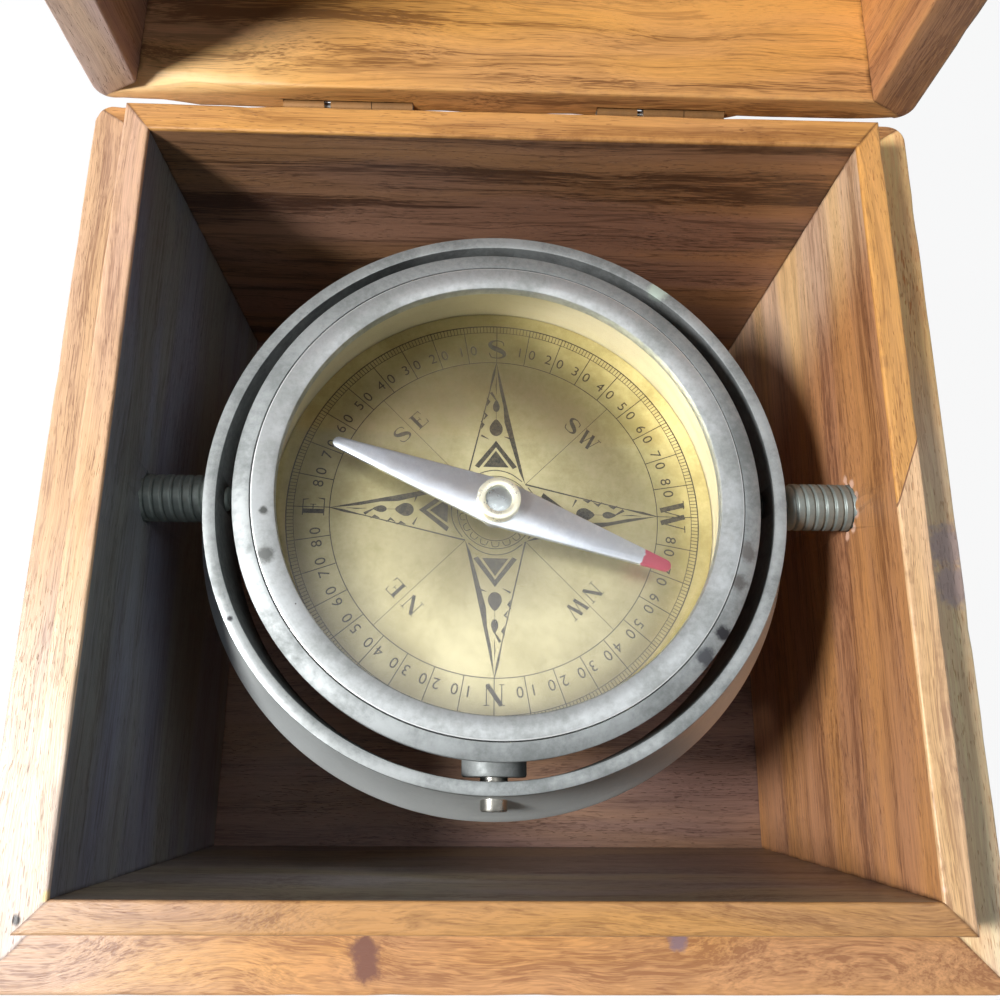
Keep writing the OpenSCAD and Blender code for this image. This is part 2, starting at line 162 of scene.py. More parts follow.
HOME = Matrix.Identity(4)
ring_place = place_at(joint_point("ring_pivot"), joint_axis("ring_pivot"), joint_axis("bowl_pivot"))
needle_axis = joint_axis("needle_spin")
across_bowl = joint_axis("bowl_pivot").cross(needle_axis).normalized()
bowl_place = place_at(joint_point("needle_spin"), across_bowl, needle_axis.cross(across_bowl))
needle_place = bowl_place @ Matrix.Rotation(NEEDLE_TURN, 4, "Z")
gimbal_point = joint_point("ring_pivot")
stud_point = Vector((0, gimbal_point.y, gimbal_point.z))
stud_places = {
    "stud_right": place_at(stud_point, Vector((0, 1, 0)), Vector((0, 0, 1))),
    "stud_left": place_at(stud_point, Vector((0, -1, 0)), Vector((0, 0, 1))),
}
hinge_point = joint_point("lid_hinge")


def box_mm(node):
    low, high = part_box(node)
    return Vector(low) / MM, Vector(high) / MM


def turned_size(node, place):
    """A turned node's inner and outer radius and its lowest and highest point, about the place's Z axis."""
    to_place = place.inverted()
    points = [to_place @ (vertex.co / MM) for vertex in frame["nodes"][node].data.vertices]
    radii = [math.hypot(point.x, point.y) for point in points]
    heights = [point.z for point in points]
    return min(radii), max(radii), min(heights), max(heights)


# Shader building

YELLOW_TINT = (1.05, 1.01, 0.86, 1.0)
BLUE_TINT = (0.95, 0.94, 1.10, 1.0)
JOINT_DIRT = srgb(96, 66, 46)

# The clean, the stained and the spotted colour of each metal
FILMS = {
    "stud_steel": ((142, 150, 146), (116, 124, 120), (70, 74, 68)),
    "ring_nickel": ((172, 176, 176), (124, 128, 127), (58, 58, 62)),
    "pin_steel": ((196, 194, 186), (140, 138, 130), (58, 58, 62)),
    "bowl_nickel": ((166, 170, 170), (128, 132, 131), (58, 58, 62)),
    "bezel_nickel": ((200, 204, 205), (154, 158, 156), (58, 58, 62)),
    "dial_brass": ((190, 182, 142), (164, 155, 113), (120, 108, 72)),
    "needle_steel": ((232, 238, 246), (204, 211, 222), (120, 120, 122)),
    "cap_brass": ((255, 252, 232), (248, 242, 212), (170, 154, 112)),
    "bearing_steel": ((190, 198, 200), (160, 166, 168), (120, 124, 126)),
    "hinge_brass": ((150, 110, 66), (124, 90, 54), (66, 48, 30)),
    "hidden_steel": ((176, 176, 172), (130, 130, 126), (80, 80, 78)),
    "ballast_metal": ((110, 112, 114), (84, 86, 88), (60, 60, 62)),
}
EDGE_WEAR = 0.6
WOOD_ROUGHNESS = 0.42
WOOD_RELIEF = 0.00007
FILM_RELIEF = 0.000012
CUT_STEP = Vector((173.0, 41.0, 67.0))
GRAIN_ALONG = {"X": (0, 0, 0), "Y": (0, 0, math.radians(90)), "Z": (0, math.radians(90), 0)}


def fill_inputs(tree, made, inputs):
    """Links or sets a node's inputs, given by name or number."""
    for name, value in inputs.items():
        socket = made.inputs[name]
        if isinstance(value, bpy.types.NodeSocket):
            tree.links.new(value, socket)
        else:
            socket.default_value = value


def spaced(inputs):
    """The inputs with spaces for the underscores in their names."""
    return {name.replace("_", " "): value for name, value in inputs.items()}


def add_node(tree, kind, inputs=None, **settings):
    made = tree.nodes.new(kind)
    for name, value in settings.items():
        setattr(made, name, value)
    fill_inputs(tree, made, inputs or {})
    return made


def use_group(tree, group, **inputs):
    return add_node(tree, "ShaderNodeGroup", spaced(inputs), node_tree=group).outputs


def calculate(tree, operation, first, second=0.0, clamp=False):
    made = add_node(tree, "ShaderNodeMath", {0: first, 1: second}, operation=operation, use_clamp=clamp)
    return made.outputs[0]


def plus(tree, first, *others):
    for other in others:
        first = calculate(tree, "ADD", first, other)
    return first


def times(tree, first, *others):
    for other in others:
        first = calculate(tree, "MULTIPLY", first, other)
    return first


def minus(tree, first, second):
    return calculate(tree, "SUBTRACT", first, second)


def vector_math(tree, operation, first, second=ZERO):
    """The vector that the operation gives, or its number if it gives one."""
    made = add_node(tree, "ShaderNodeVectorMath", {0: first, 1: second}, operation=operation)
    return made.outputs["Value" if operation in ("DISTANCE", "DOT_PRODUCT", "LENGTH") else "Vector"]


def blend_colours(tree, factor, first, second, mode="MIX"):
    inputs = {0: factor, 6: first, 7: second}
    return add_node(tree, "ShaderNodeMix", inputs, data_type="RGBA", blend_type=mode).outputs[2]


def blend_numbers(tree, factor, first, second):
    return add_node(tree, "ShaderNodeMix", {0: factor, 2: first, 3: second}).outputs[0]


def between(tree, value, low, high):
    """0 below low, 1 above high, and a soft step between them."""
    inputs = {0: value, 1: low, 2: high}
    return add_node(tree, "ShaderNodeMapRange", inputs, interpolation_type="SMOOTHSTEP").outputs[0]


def clouds(tree, vector, scale=1.0, detail=3.0, roughness=0.5, distortion=0.0):
    inputs = {"Vector": vector, "Scale": scale, "Detail": detail, "Roughness": roughness,
              "Distortion": distortion}
    return add_node(tree, "ShaderNodeTexNoise", inputs).outputs[0]


def new_group(name, inputs, outputs):
    """A shader group with sockets given as name: default value, its input sockets and its end node."""
    group = bpy.data.node_groups.new(name, "ShaderNodeTree")
    for direction, sockets in (("INPUT", inputs), ("OUTPUT", outputs)):
        for socket_name, value in sockets.items():
            kind = "NodeSocketFloat"
            if isinstance(value, tuple):
                kind = "NodeSocketColor" if len(value) == 4 else "NodeSocketVector"
            socket = group.interface.new_socket(name=socket_name, in_out=direction, socket_type=kind)
            socket.default_value = value
    return group, group.nodes.new("NodeGroupInput").outputs, group.nodes.new("NodeGroupOutput")


def weighted(tree, value, weight):
    """How far a value of 0 to 1 is from its middle, times a weight."""
    return times(tree, minus(tree, value, 0.5), weight)


def make_wood_grain():
    """Hardwood figure. Vector runs along the grain in X, in millimetres."""
    inputs = {"Vector": ZERO, "Light": WHITE, "Middle": WHITE, "Dark": WHITE, "Bands": 1.0, "Waves": 1.0,
              "Curl": 0.0, "Lines": 1.0, "Pores": 1.0, "Balance": 0.5}
    group, start, end = new_group("wood_grain", inputs, {"Color": WHITE, "Height": 0.0, "Pore Mask": 0.0})
    vector = start["Vector"]
    dark = start["Dark"]

    def figure(source, along, across, **settings):
        """Noise with its own scale along the grain and across it."""
        return clouds(group, vector_math(group, "MULTIPLY", source, (along, across, across)), **settings)

    sway = figure(vector, 0.022, 0.05, detail=2.0)
    aside = times(group, weighted(group, sway, 14.0), start["Waves"])
    shift = add_node(group, "ShaderNodeCombineXYZ", {"Y": aside, "Z": aside}).outputs[0]
    bent = vector_math(group, "ADD", vector, shift)
    bands = figure(bent, 0.010, 0.26, detail=3.0)
    streaks = figure(bent, 0.045, 1.9, detail=3.0, roughness=0.6)
    fibres = figure(bent, 0.20, 7.0, detail=2.0, roughness=0.6)
    curls = figure(bent, 0.26, 1.7, detail=2.0, roughness=0.5, distortion=1.0)
    layers = figure(bent, 0.008, 0.21, detail=4.0)
    hue = figure(bent, 0.014, 0.11, detail=2.0)
    dashes = figure(bent, 0.75, 7.0, detail=0.0)
    crowds = figure(vector, 0.05, 0.3, detail=1.0)
    banded = times(group, weighted(group, bands, 0.95), start["Bands"])
    curled = times(group, weighted(group, curls, 1.5), start["Curl"])
    tone = plus(group, banded, weighted(group, streaks, 0.6), weighted(group, fibres, 0.75), curled,
                start["Balance"])
    warm = blend_colours(group, between(group, tone, 0.28, 0.50), dark, start["Middle"])
    warm = blend_colours(group, between(group, tone, 0.48, 0.74), warm, start["Light"])
    edge = calculate(group, "ABSOLUTE", minus(group, layers, 0.52))
    lines = minus(group, 1.0, between(group, edge, 0.0, 0.02))
    lines = times(group, lines, times(group, start["Lines"], 0.55))
    warm = blend_colours(group, lines, warm, dark)
    tint = blend_colours(group, between(group, hue, 0.36, 0.64), YELLOW_TINT, BLUE_TINT)
    warm = blend_colours(group, 1.0, warm, tint, "MULTIPLY")
    dashes = plus(group, dashes, weighted(group, crowds, 0.4))
    pores = times(group, between(group, dashes, 0.70, 0.79), start["Pores"])
    pore_colour = blend_colours(group, 0.7, warm, dark, "MULTIPLY")
    height = minus(group, times(group, fibres, 0.5), pores)
    colour = blend_colours(group, pores, warm, pore_colour)
    fill_inputs(group, end, {"Color": colour, "Height": height, "Pore Mask": pores})
    return group


def make_edge_wear():
    """Rubbed edges and dark joint lines, broken up by noise."""
    inputs = {"Color": WHITE, "Worn Color": WHITE, "Wear": 0.0, "Joint": 0.0, "Vector": ZERO, "Amount": 0.5}
    group, start, end = new_group("edge_wear", inputs, {"Color": WHITE})
    breakup = clouds(group, start["Vector"], scale=0.35, detail=4.0, roughness=0.65)
    rubbed = times(group, start["Wear"], between(group, breakup, 0.32, 0.62))
    rubbed = calculate(group, "MULTIPLY", rubbed, start["Amount"], clamp=True)
    worn = blend_colours(group, rubbed, start["Color"], start["Worn Color"])
    joint = times(group, start["Joint"], between(group, breakup, 0.30, 0.60))
    joint_colour = blend_colours(group, 0.8, worn, JOINT_DIRT, "MULTIPLY")
    fill_inputs(group, end, {"Color": blend_colours(group, joint, worn, joint_colour)})
    return group


def make_tarnish():
    """Old plating: cloudy staining, fine spots and scattered dark corrosion."""
    inputs = {"Vector": ZERO, "Clean": WHITE, "Stained": WHITE, "Spots": WHITE, "Amount": 0.5}
    group, start, end = new_group("tarnish", inputs, {"Color": WHITE, "Roughness": 0.4, "Height": 0.0})
    vector = start["Vector"]
    cloudy = clouds(group, vector, scale=0.11, detail=5.0, roughness=0.6)
    fine = clouds(group, vector, scale=1.1, detail=4.0, roughness=0.7)
    specks = clouds(group, vector, scale=0.62, detail=3.0, roughness=0.55)
    stain = plus(group, times(group, cloudy, 0.7), times(group, fine, 0.3))
    stain = between(group, stain, 0.36, 0.66)
    stained = blend_colours(group, stain, start["Clean"], start["Stained"])
    edge = minus(group, 0.80, times(group, start["Amount"], 0.12))
    spots = between(group, specks, edge, plus(group, edge, 0.05))
    colour = blend_colours(group, spots, stained, start["Spots"])
    rough = plus(group, times(group, stain, 0.16), times(group, fine, 0.16), times(group, spots, 0.3), 0.16)
    height = minus(group, times(group, fine, 0.35), spots)
    fill_inputs(group, end, {"Color": colour, "Roughness": rough, "Height": height})
    return group


def make_turned_lines():
    """Fine lathe lines round the Z axis of Vector, in millimetres."""
    group, start, end = new_group("turned_lines", {"Vector": ZERO, "Pitch": 0.2}, {"Height": 0.0})
    parts = add_node(group, "ShaderNodeSeparateXYZ", {0: start["Vector"]}).outputs
    flat = add_node(group, "ShaderNodeCombineXYZ", {"X": parts["X"], "Y": parts["Y"]}).outputs[0]
    across = plus(group, vector_math(group, "LENGTH", flat), parts["Z"])
    across = calculate(group, "DIVIDE", across, start["Pitch"])
    inputs = {"W": across, "Scale": 1.0, "Detail": 2.0}
    lines = add_node(group, "ShaderNodeTexNoise", inputs, noise_dimensions="1D")
    fill_inputs(group, end, {"Height": lines.outputs[0]})
    return group


wood_grain = make_wood_grain()
edge_wear = make_edge_wear()
tarnish = make_tarnish()
turned_lines = make_turned_lines()


def new_material(name):
    material = bpy.data.materials.new(name)
    material.use_nodes = True
    return material, material.node_tree


def surface(tree, **inputs):
    """Sets the surface's inputs."""
    fill_inputs(tree, tree.nodes["Principled BSDF"], spaced(inputs))


def mix_surface(tree, share, other):
    """Puts another shader in place of that share of the surface."""
    own = tree.nodes["Principled BSDF"].outputs[0]
    mixed = add_node(tree, "ShaderNodeMixShader", {0: share, 1: own, 2: other.outputs[0]})
    fill_inputs(tree, tree.nodes["Material Output"], {"Surface": mixed.outputs[0]})


def local_vector(tree, place):
    """The surface point in millimetres in the given place's frame, from Object coordinates."""
    where = add_node(tree, "ShaderNodeTexCoord").outputs["Object"]
    inputs = {"Vector": where, "Location": place.translation * MM, "Rotation": place.to_euler(),
              "Scale": (MM, MM, MM)}
    return add_node(tree, "ShaderNodeMapping", inputs, vector_type="TEXTURE").outputs[0]


def bump(tree, height, depth, **below):
    """A relief of that many metres. Another relief below it is given as Normal."""
    inputs = {"Height": height, "Distance": depth, "Strength": 1.0, **below}
    return add_node(tree, "ShaderNodeBump", inputs).outputs[0]


def attribute(tree, name):
    return add_node(tree, "ShaderNodeAttribute", attribute_name=name).outputs["Fac"]


def patched(tree, colour, patches, place=HOME):
    """Ragged spots of another colour, each given as (x, y, z, radius, colour), and their mask."""
    vector = local_vector(tree, place)
    wobble = times(tree, clouds(tree, vector, scale=0.9, detail=4.0, roughness=0.65), 1.2)
    covered = 0.0
    for x, y, z, radius, patch_colour in patches:
        away = vector_math(tree, "DISTANCE", vector, (x, y, z))
        ragged = plus(tree, calculate(tree, "DIVIDE", away, radius), wobble)
        mask = minus(tree, 1.0, between(tree, ragged, 1.05, 1.65))
        colour = blend_colours(tree, mask, colour, patch_colour)
        covered = calculate(tree, "MAXIMUM", mask, covered)
    return colour, covered


def shades(red, green, blue, light=1.22, dark=0.58):
    """A wood's light, middle and dark colours from its middle one. The dark one is redder."""
    middle = srgb(red, green, blue)
    paler = tuple(min(0.95, value * light) for value in middle[:3]) + (1.0,)
    deeper = (middle[0] * dark, middle[1] * dark * 0.88, middle[2] * dark * 0.86, 1.0)
    return paler, middle, deeper


def beyond(tree, planes):
    """1 on the far side of all the planes, each given as a point, a normal and a softness in millimetres."""
    vector = local_vector(tree, HOME)
    mask = 1.0
    for point, normal, softness in planes:
        side = vector_math(tree, "DOT_PRODUCT", vector_math(tree, "SUBTRACT", vector, point), normal)
        mask = times(tree, mask, between(tree, side, -softness, softness))
    return mask


def wood(name, colours, along="X", seed=0, bands=1.0, waves=0.4, curl=0.0, lines=0.6, pores=0.6, balance=0.5,
         stains=(), pieces=()):
    """One board's hardwood, with its own cut of the figure. A piece has other colours beyond its planes."""
    material, tree = new_material(name)
    place = Euler(GRAIN_ALONG[along]).to_matrix().to_4x4()
    place.translation = CUT_STEP * seed
    vector = local_vector(tree, place)
    for planes, other_colours in pieces:
        mask = beyond(tree, planes)
        colours = [blend_colours(tree, mask, first, second) for first, second in zip(colours, other_colours)]
    light, middle, dark = colours
    grain = use_group(tree, wood_grain, Vector=vector, Light=light, Middle=middle, Dark=dark, Bands=bands,
                      Waves=waves, Curl=curl, Lines=lines, Pores=pores, Balance=balance)
    edges = use_group(tree, edge_wear, Color=grain["Color"], Worn_Color=light, Vector=vector,
                      Wear=attribute(tree, "wear"), Joint=attribute(tree, "joint"), Amount=EDGE_WEAR)
    colour = patched(tree, edges["Color"], stains)[0] if stains else edges["Color"]
    rough = plus(tree, WOOD_ROUGHNESS, times(tree, grain["Pore Mask"], 0.2))
    surface(tree, Base_Color=colour, Roughness=rough, Normal=bump(tree, grain["Height"], WOOD_RELIEF))
    return material


def stained_film(tree, metal, vector, amount):
    """The metal's film, in its colours in FILMS."""
    clean, stained, spots = [srgb(*colour) for colour in FILMS[metal]]
    return use_group(tree, tarnish, Vector=vector, Clean=clean, Stained=stained, Spots=spots, Amount=amount)


def tarnished_metal(name, place, amount=0.5, pitch=0.25, line_depth=0.000006, patches=(), metallic=0.9,
                    duller=0.0):
    """Old satin plating with lathe lines. patches are (x, y, z, radius, colour) in the place's frame."""
    material, tree = new_material(name)
    vector = local_vector(tree, place)
    film = stained_film(tree, name, vector, amount)
    lines = use_group(tree, turned_lines, Vector=vector, Pitch=pitch)
    colour = film["Color"]
    rough = plus(tree, film["Roughness"], duller)
    if patches:
        colour, covered = patched(tree, colour, patches, place)
        rough = calculate(tree, "MAXIMUM", rough, times(tree, covered, 0.65))
    turned = bump(tree, lines["Height"], line_depth)
    surface(tree, Base_Color=colour, Roughness=rough, Metallic=metallic,
            Normal=bump(tree, film["Height"], FILM_RELIEF, Normal=turned))
    return material


def polished(tree, film):
    """A smoother finish under the film."""
    return plus(tree, times(tree, film["Roughness"], 0.5), 0.2)


def tint_where(material, name, colour):
    """Gives the material another colour where the mesh is marked so."""
    tree = material.node_tree
    plain = tree.nodes["Principled BSDF"].inputs["Base Color"].links[0].from_socket
    surface(tree, Base_Color=blend_colours(tree, attribute(tree, name), plain, colour))


# Mesh building

def new_object(name, data):
    made = bpy.data.objects.new(name, data)
    bpy.context.scene.collection.objects.link(made)
    return made


def finish_mesh(bm, name, place=HOME, sharp=35):
    """Sets the shape in place in metres and turns it into an object with smooth faces between sharp edges."""
    bm.transform(Matrix.Scale(MM, 4) @ place)
    for face in bm.faces:
        face.smooth = True
    for edge in bm.edges:
        edge.smooth = edge.calc_face_angle(0.0) < math.radians(sharp)
    mesh = bpy.data.meshes.new(name)
    bm.to_mesh(mesh)
    bm.free()
    return new_object(name, mesh)


def add_piece(bm, name, place, material, body, slot, *nodes, sharp=35):
    """Adds a piece that rides on the body, in place of the nodes."""
    made = finish_mesh(bm, name, place, sharp)
    made.data.materials.append(material)
    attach(made, body)
    if nodes:
        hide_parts(*nodes)


def mark(bm, name, chosen, amount=1.0):
    """Marks the vertices whose distance from the axis and height pass the test."""
    layer = bm.verts.layers.float.new(name)
    for vertex in bm.verts:
        vertex[layer] = amount * float(chosen(vertex.co.xy.length, vertex.co.z))


def bevel(bm, edges, offset, segments):
    bmesh.ops.bevel(bm, geom=edges, offset=offset, offset_type="OFFSET", segments=segments, profile=0.5,
                    affect="EDGES", material=-1)


def everything(bm):
    return bm.verts[:] + bm.edges[:] + bm.faces[:]


def slice_at(bm, point, normal, **settings):
    return bmesh.ops.bisect_plane(bm, geom=everything(bm), dist=CUT_NEARNESS, plane_co=point, plane_no=normal,
                                  **settings)


def trim(bm, point, normal):
    """Cuts away what lies beyond a plane, on the side its normal points to, and closes the cut."""
    done = slice_at(bm, point, normal, clear_outer=True)
    rim = [part for part in done["geom_cut"] if isinstance(part, bmesh.types.BMEdge)]
    bmesh.ops.holes_fill(bm, edges=rim)


def block(low, high, corner_round):
    """A box, with its upright corners rounded."""
    bm = bmesh.new()
    bmesh.ops.create_cube(bm, size=1.0)
    bmesh.ops.scale(bm, vec=high - low, verts=bm.verts)
    bmesh.ops.translate(bm, vec=(low + high) / 2, verts=bm.verts)
    if corner_round:
        spans = [(edge, edge.verts[0].co - edge.verts[1].co) for edge in bm.edges]
        bevel(bm, [edge for edge, span in spans if abs(span.normalized().z) > 0.9], corner_round, 8)
    return bm


def subtract(bm, cutters):
    """The shape less each cutter, by Blender's exact boolean."""
    helpers = []
    for shape in [bm] + cutters:
        helper = new_object("helper", bpy.data.meshes.new("helper"))
        shape.to_mesh(helper.data)
        shape.free()
        helpers.append(helper)
    for helper in helpers[1:]:
        modifier = helpers[0].modifiers.new("cut", "BOOLEAN")
        modifier.operation = "DIFFERENCE"
        modifier.solver = "EXACT"
        modifier.object = helper
    result = helpers[0].evaluated_get(bpy.context.evaluated_depsgraph_get()).to_mesh()
    cut = bmesh.new()
    cut.from_mesh(result)
    for helper in helpers:
        bpy.data.objects.remove(helper)
    return cut


def rounded_outline(points, radius, closed=True):
    """The outline with each corner eased by a short arc of that radius, or less on a short side."""
    eased = []
    count = len(points)
    for index, corner in enumerate(points):
        here = Vector(corner)
        if not closed and index in (0, count - 1):
            eased.append(here)
            continue
        before = Vector(points[index - 1]) - here
        after = Vector(points[(index + 1) % count]) - here
        ease = min(radius, before.length * 0.4, after.length * 0.4)
        if before.angle(-after) < math.radians(15):
            eased.append(here)
            continue
        start = here + before.normalized() * ease
        end = here + after.normalized() * ease
        eased += [start, (start + here * 2 + end) / 4, end]
    return eased


def turn(outline, closed=True, steps=ROUND_STEPS):
    """Spins an outline of (radius, height) points round the Z axis."""
    bm = bmesh.new()
    verts = [bm.verts.new((point[0], 0, point[1])) for point in outline]
    pairs = list(zip(verts, verts[1:]))
    if closed:
        pairs.append((verts[-1], verts[0]))
    edges = [bm.edges.new(pair) for pair in pairs]
    bmesh.ops.spin(bm, geom=verts + edges, cent=ZERO, axis=UP, angle=FULL_TURN, steps=steps, use_merge=True)
    bmesh.ops.remove_doubles(bm, verts=bm.verts, dist=1e-4)
    bmesh.ops.recalc_face_normals(bm, faces=bm.faces)
    return bm


def rod(radius, low, high, steps=48, bevel_size=0.0, place=HOME):
    """A round bar along the place's Z axis."""
    corners = [(0, low), (radius, low), (radius, high), (0, high)]
    outline = rounded_outline(corners, bevel_size, closed=False) if bevel_size else corners
    bm = turn(outline, closed=False, steps=steps)
    bm.transform(place)
    return bm


ALONG_X = Matrix.Rotation(math.radians(90), 4, "Y")
ALONG_Y = Matrix.Rotation(math.radians(-90), 4, "X")


# Woodwork

def upright_plane(first, second, inside):
    """The upright plane through two points (x, y), with its normal away from the point inside."""
    along = Vector((second[0] - first[0], second[1] - first[1], 0))
    point = Vector((first[0], first[1], 0))
    normal = along.cross(UP).normalized()
    if normal.dot(inside - point) > 0:
        normal.negate()
    return point, normal


def distance(point, plane):
    return abs((point - plane[0]).dot(plane[1]))


def weather(bm, faces, mitres, seed):
    """Slices the board finely, rubs its edges down unevenly and marks the wear and the joints."""
    points = [vertex.co for vertex in bm.verts]
    low = Vector([min(point[axis] for point in points) for axis in range(3)])
    high = Vector([max(point[axis] for point in points) for axis in range(3)])
    length_axis = max(range(3), key=lambda axis: high[axis] - low[axis])
    along = Vector([float(axis == length_axis) for axis in range(3)])
    count = int((high - low)[length_axis] / SLICE)
    for step in range(1, count):
        slice_at(bm, low + along * (high - low)[length_axis] * step / count, along)
    for planes, insets in ((faces, WEAR_INSETS), (mitres, MITRE_INSETS)):
        for point, normal in planes:
            for inset in insets:
                slice_at(bm, point - normal * inset, normal)
    wear = bm.verts.layers.float.new("wear")
    joint = bm.verts.layers.float.new("joint")
    for vertex in bm.verts:
        near = sorted((distance(vertex.co, plane), index) for index, plane in enumerate(faces))
        edge_distance = near[1][0]
        vertex[wear] = max(0.0, 1 - edge_distance / WEAR_REACH)
        mitre_distance = min([distance(vertex.co, plane) for plane in mitres], default=9.0)
        vertex[joint] = max(0.0, 1 - mitre_distance / JOINT_REACH)
        if edge_distance < RUB_REACH and mitre_distance > MITRE_CLEAR:
            inward = -(faces[near[0][1]][1] + faces[near[1][1]][1])
            rub = max(0.0, noise.noise(vertex.co * 0.16 + Vector((seed, 0, 0))) - 0.05)
            nick = max(0.0, noise.noise(vertex.co * 0.8 + Vector((0, seed, 0))) - 0.35)
            vertex.co += inward * RUB_DEPTH * (rub + 1.6 * nick) * (1 - edge_distance / RUB_REACH)
    return bm


def round_edges(bm, mitres):
    """Rounds the sharp edges, except those that lie in a mitre."""
    sharp = []
    for edge in bm.edges:
        in_mitre = any(all(distance(vertex.co, plane) < 0.01 for vertex in edge.verts) for plane in mitres)
        if edge.calc_face_angle(0.0) > math.radians(30) and not in_mitre:
            sharp.append(edge)
    bevel(bm, sharp, EDGE_ROUND, 3)


def corners_of(low, high):
    return [(low.x, low.y), (high.x, low.y), (high.x, high.y), (low.x, high.y)]


def mitred_board(side, outer_low, outer_high, inner_low, inner_high, seed, corner_round=0.0, cutters=None,
                 worn=None):
    """One side of a mitred frame, by its number in SIDE_NAMES. worn is the plane of a rubbed edge."""
    outer = corners_of(outer_low, outer_high)
    inner = corners_of(inner_low, inner_high)
    follow = (side + 1) % 4
    corners = [Vector((*corner, 0)) for corner in (outer[side], inner[side], outer[follow], inner[follow])]
    middle = sum(corners, Vector()) / 4
    inner_face = upright_plane(inner[side], inner[follow], middle)
    outer_face = upright_plane(outer[side], outer[follow], middle)
    mitres = [upright_plane(outer[end], inner[end], middle) for end in (side, follow)]
    worn_faces = [worn] if worn else []
    bm = block(outer_low, outer_high, corner_round)
    for point, normal in [inner_face] + mitres + worn_faces:
        trim(bm, point, normal)
    round_edges(bm, mitres)
    if cutters:
        bm = subtract(bm, cutters)
    faces = [inner_face, outer_face, (outer_low, -UP), (outer_high, UP)] + worn_faces
    return weather(bm, faces, mitres, seed)


def panel(low, high, seed):
    """A plain board with rounded upright corners."""
    bm = block(low, high, CORNER_ROUND)
    round_edges(bm, [])
    faces = [(low, -UP), (high, UP)]
    for axis in (Vector((1, 0, 0)), Vector((0, 1, 0))):
        faces += [(low, -axis), (high, axis)]
    return weather(bm, faces, [], seed)


def stud_cutter(direction, start, reach, mouth=0.0):
    """The stud's hole, with a ragged mouth where the drill came through the grain."""
    outline = [(0, start - 1), (stud_radius + mouth, start - 1), (stud_radius + mouth, start),
               (stud_radius, start + MOUTH_DEPTH), (stud_radius, reach), (0, reach)]
    bm = turn(outline, closed=False, steps=64)
    for vertex in bm.verts:
        if mouth and vertex.co.z < start + 0.2 and vertex.co.xy.length > stud_radius:
            ragged = mouth * 2.4 * max(-0.3, noise.noise(Vector((vertex.co.x, vertex.co.y, 3.0)) * 1.4))
            vertex.co.xy = vertex.co.xy * (1 + ragged / vertex.co.xy.length)
    bm.transform(stud_places["stud_right" if direction > 0 else "stud_left"])
    return bm


def hinge_cutters(screws, to_board=HOME):
    """The grooves for the knuckles and the holes of the given screws, in the board's own frame."""
    cutters = []
    for side in (-1, 1):
        groove_place = Matrix.Translation(hinge_point + Vector((side * HINGE_X, 0, 0))) @ ALONG_X
        cutters.append(rod(KNUCKLE_GROOVE, -GROOVE_REACH, GROOVE_REACH, place=to_board @ groove_place))
    holes = bmesh.new()
    holes.from_mesh(frame["nodes"][screws].data)
    holes.transform(to_board @ Matrix.Scale(1 / MM, 4))
    return cutters + [holes]


base_low, base_high = box_mm("base_panel")
shelf_z = box_mm("outer_front")[1].z
lip_low = Vector((box_mm("lining_left")[0].x, box_mm("lining_front")[0].y, base_high.z))
lip_high = Vector((box_mm("lining_right")[1].x, box_mm("lining_back")[1].y, box_mm("lining_front")[1].z))
well_low = Vector((box_mm("lining_left")[1].x, box_mm("lining_front")[1].y, base_high.z))
well_high = Vector((box_mm("lining_right")[0].x, box_mm("lining_back")[0].y, lip_high.z))
_, stud_radius, _, stud_end = turned_size("stud_right", stud_places["stud_right"])
pin_radius = turned_size("bowl_pivot_front", ring_place @ ALONG_Y)[1]

SIDE_NAMES = ("front", "right", "back", "left")
PURPLE_STAIN = srgb(138, 110, 112)
SHADED_STAIN = srgb(206, 176, 164)
SPLINTER_PALE = srgb(228, 184, 158)
SPLINTER_ANGLES = (10, 45, 80, 115, 150, 185)
SPLINTER_RADIUS = 3.7
SPLINTER_SIZE = 0.85
KNOT_BROWN = srgb(122, 80, 64)
FRESH_BREAK = srgb(236, 206, 150)
DARK_SLIT = srgb(34, 24, 20)

# Planes that bound the parts of a board that have other colours: a point, a normal and a softness
# Above this plane the lining boards take their lip tops' colours; on the front and left boards the walls
# below get greyer, darker colours as painted shade
LIP_TOP = ((0.0, 0.0, 69.5), (0.0, 0.0, 1.0), 0.04)
# On the front shelf and the front lip the part beyond this plane is paler: painted glare near the front-left
# corner
LEFT_END = ((-36.0, 0.0, 0.0), (-1.0, 0.0, 0.0), 18.0)
# painted glare: beyond this plane the left shelf and left lip top are pale grey, a painted reflection of the
# key lamp
FRONT_END_PAINTED_GLARE = ((0.0, -20.0, 0.0), (0.0, -1.0, 0.0), 18.0)
# painted light: beyond this plane the right shelf's back end is golden, as if lit past the lip's shadow
BACK_END_PAINTED_LIGHT = ((0.0, 12.0, 0.0), (0.0, 1.0, 0.0), 12.0)
SAPWOOD = ((46.4, 30.0, 50.0), (0.0, 0.96, -0.28), 9.0)
SCARF_POINT = Vector((50.15, 6.62, 70.0))
SCARF_NORMAL = Vector((0.93, -0.368, 0.0))
SCARF = (SCARF_POINT, SCARF_NORMAL, 0.04)
SCARF_END = (SCARF_POINT + SCARF_NORMAL * 0.16, -SCARF_NORMAL, 0.04)


def splinters():
    """Pale splinters round the right stud's hole."""
    found = []
    for angle in SPLINTER_ANGLES:
        y = gimbal_point.y + SPLINTER_RADIUS * math.cos(math.radians(angle))
        z = gimbal_point.z + SPLINTER_RADIUS * math.sin(math.radians(angle))
        found.append((well_high.x, y, z, SPLINTER_SIZE, SPLINTER_PALE))
    return found


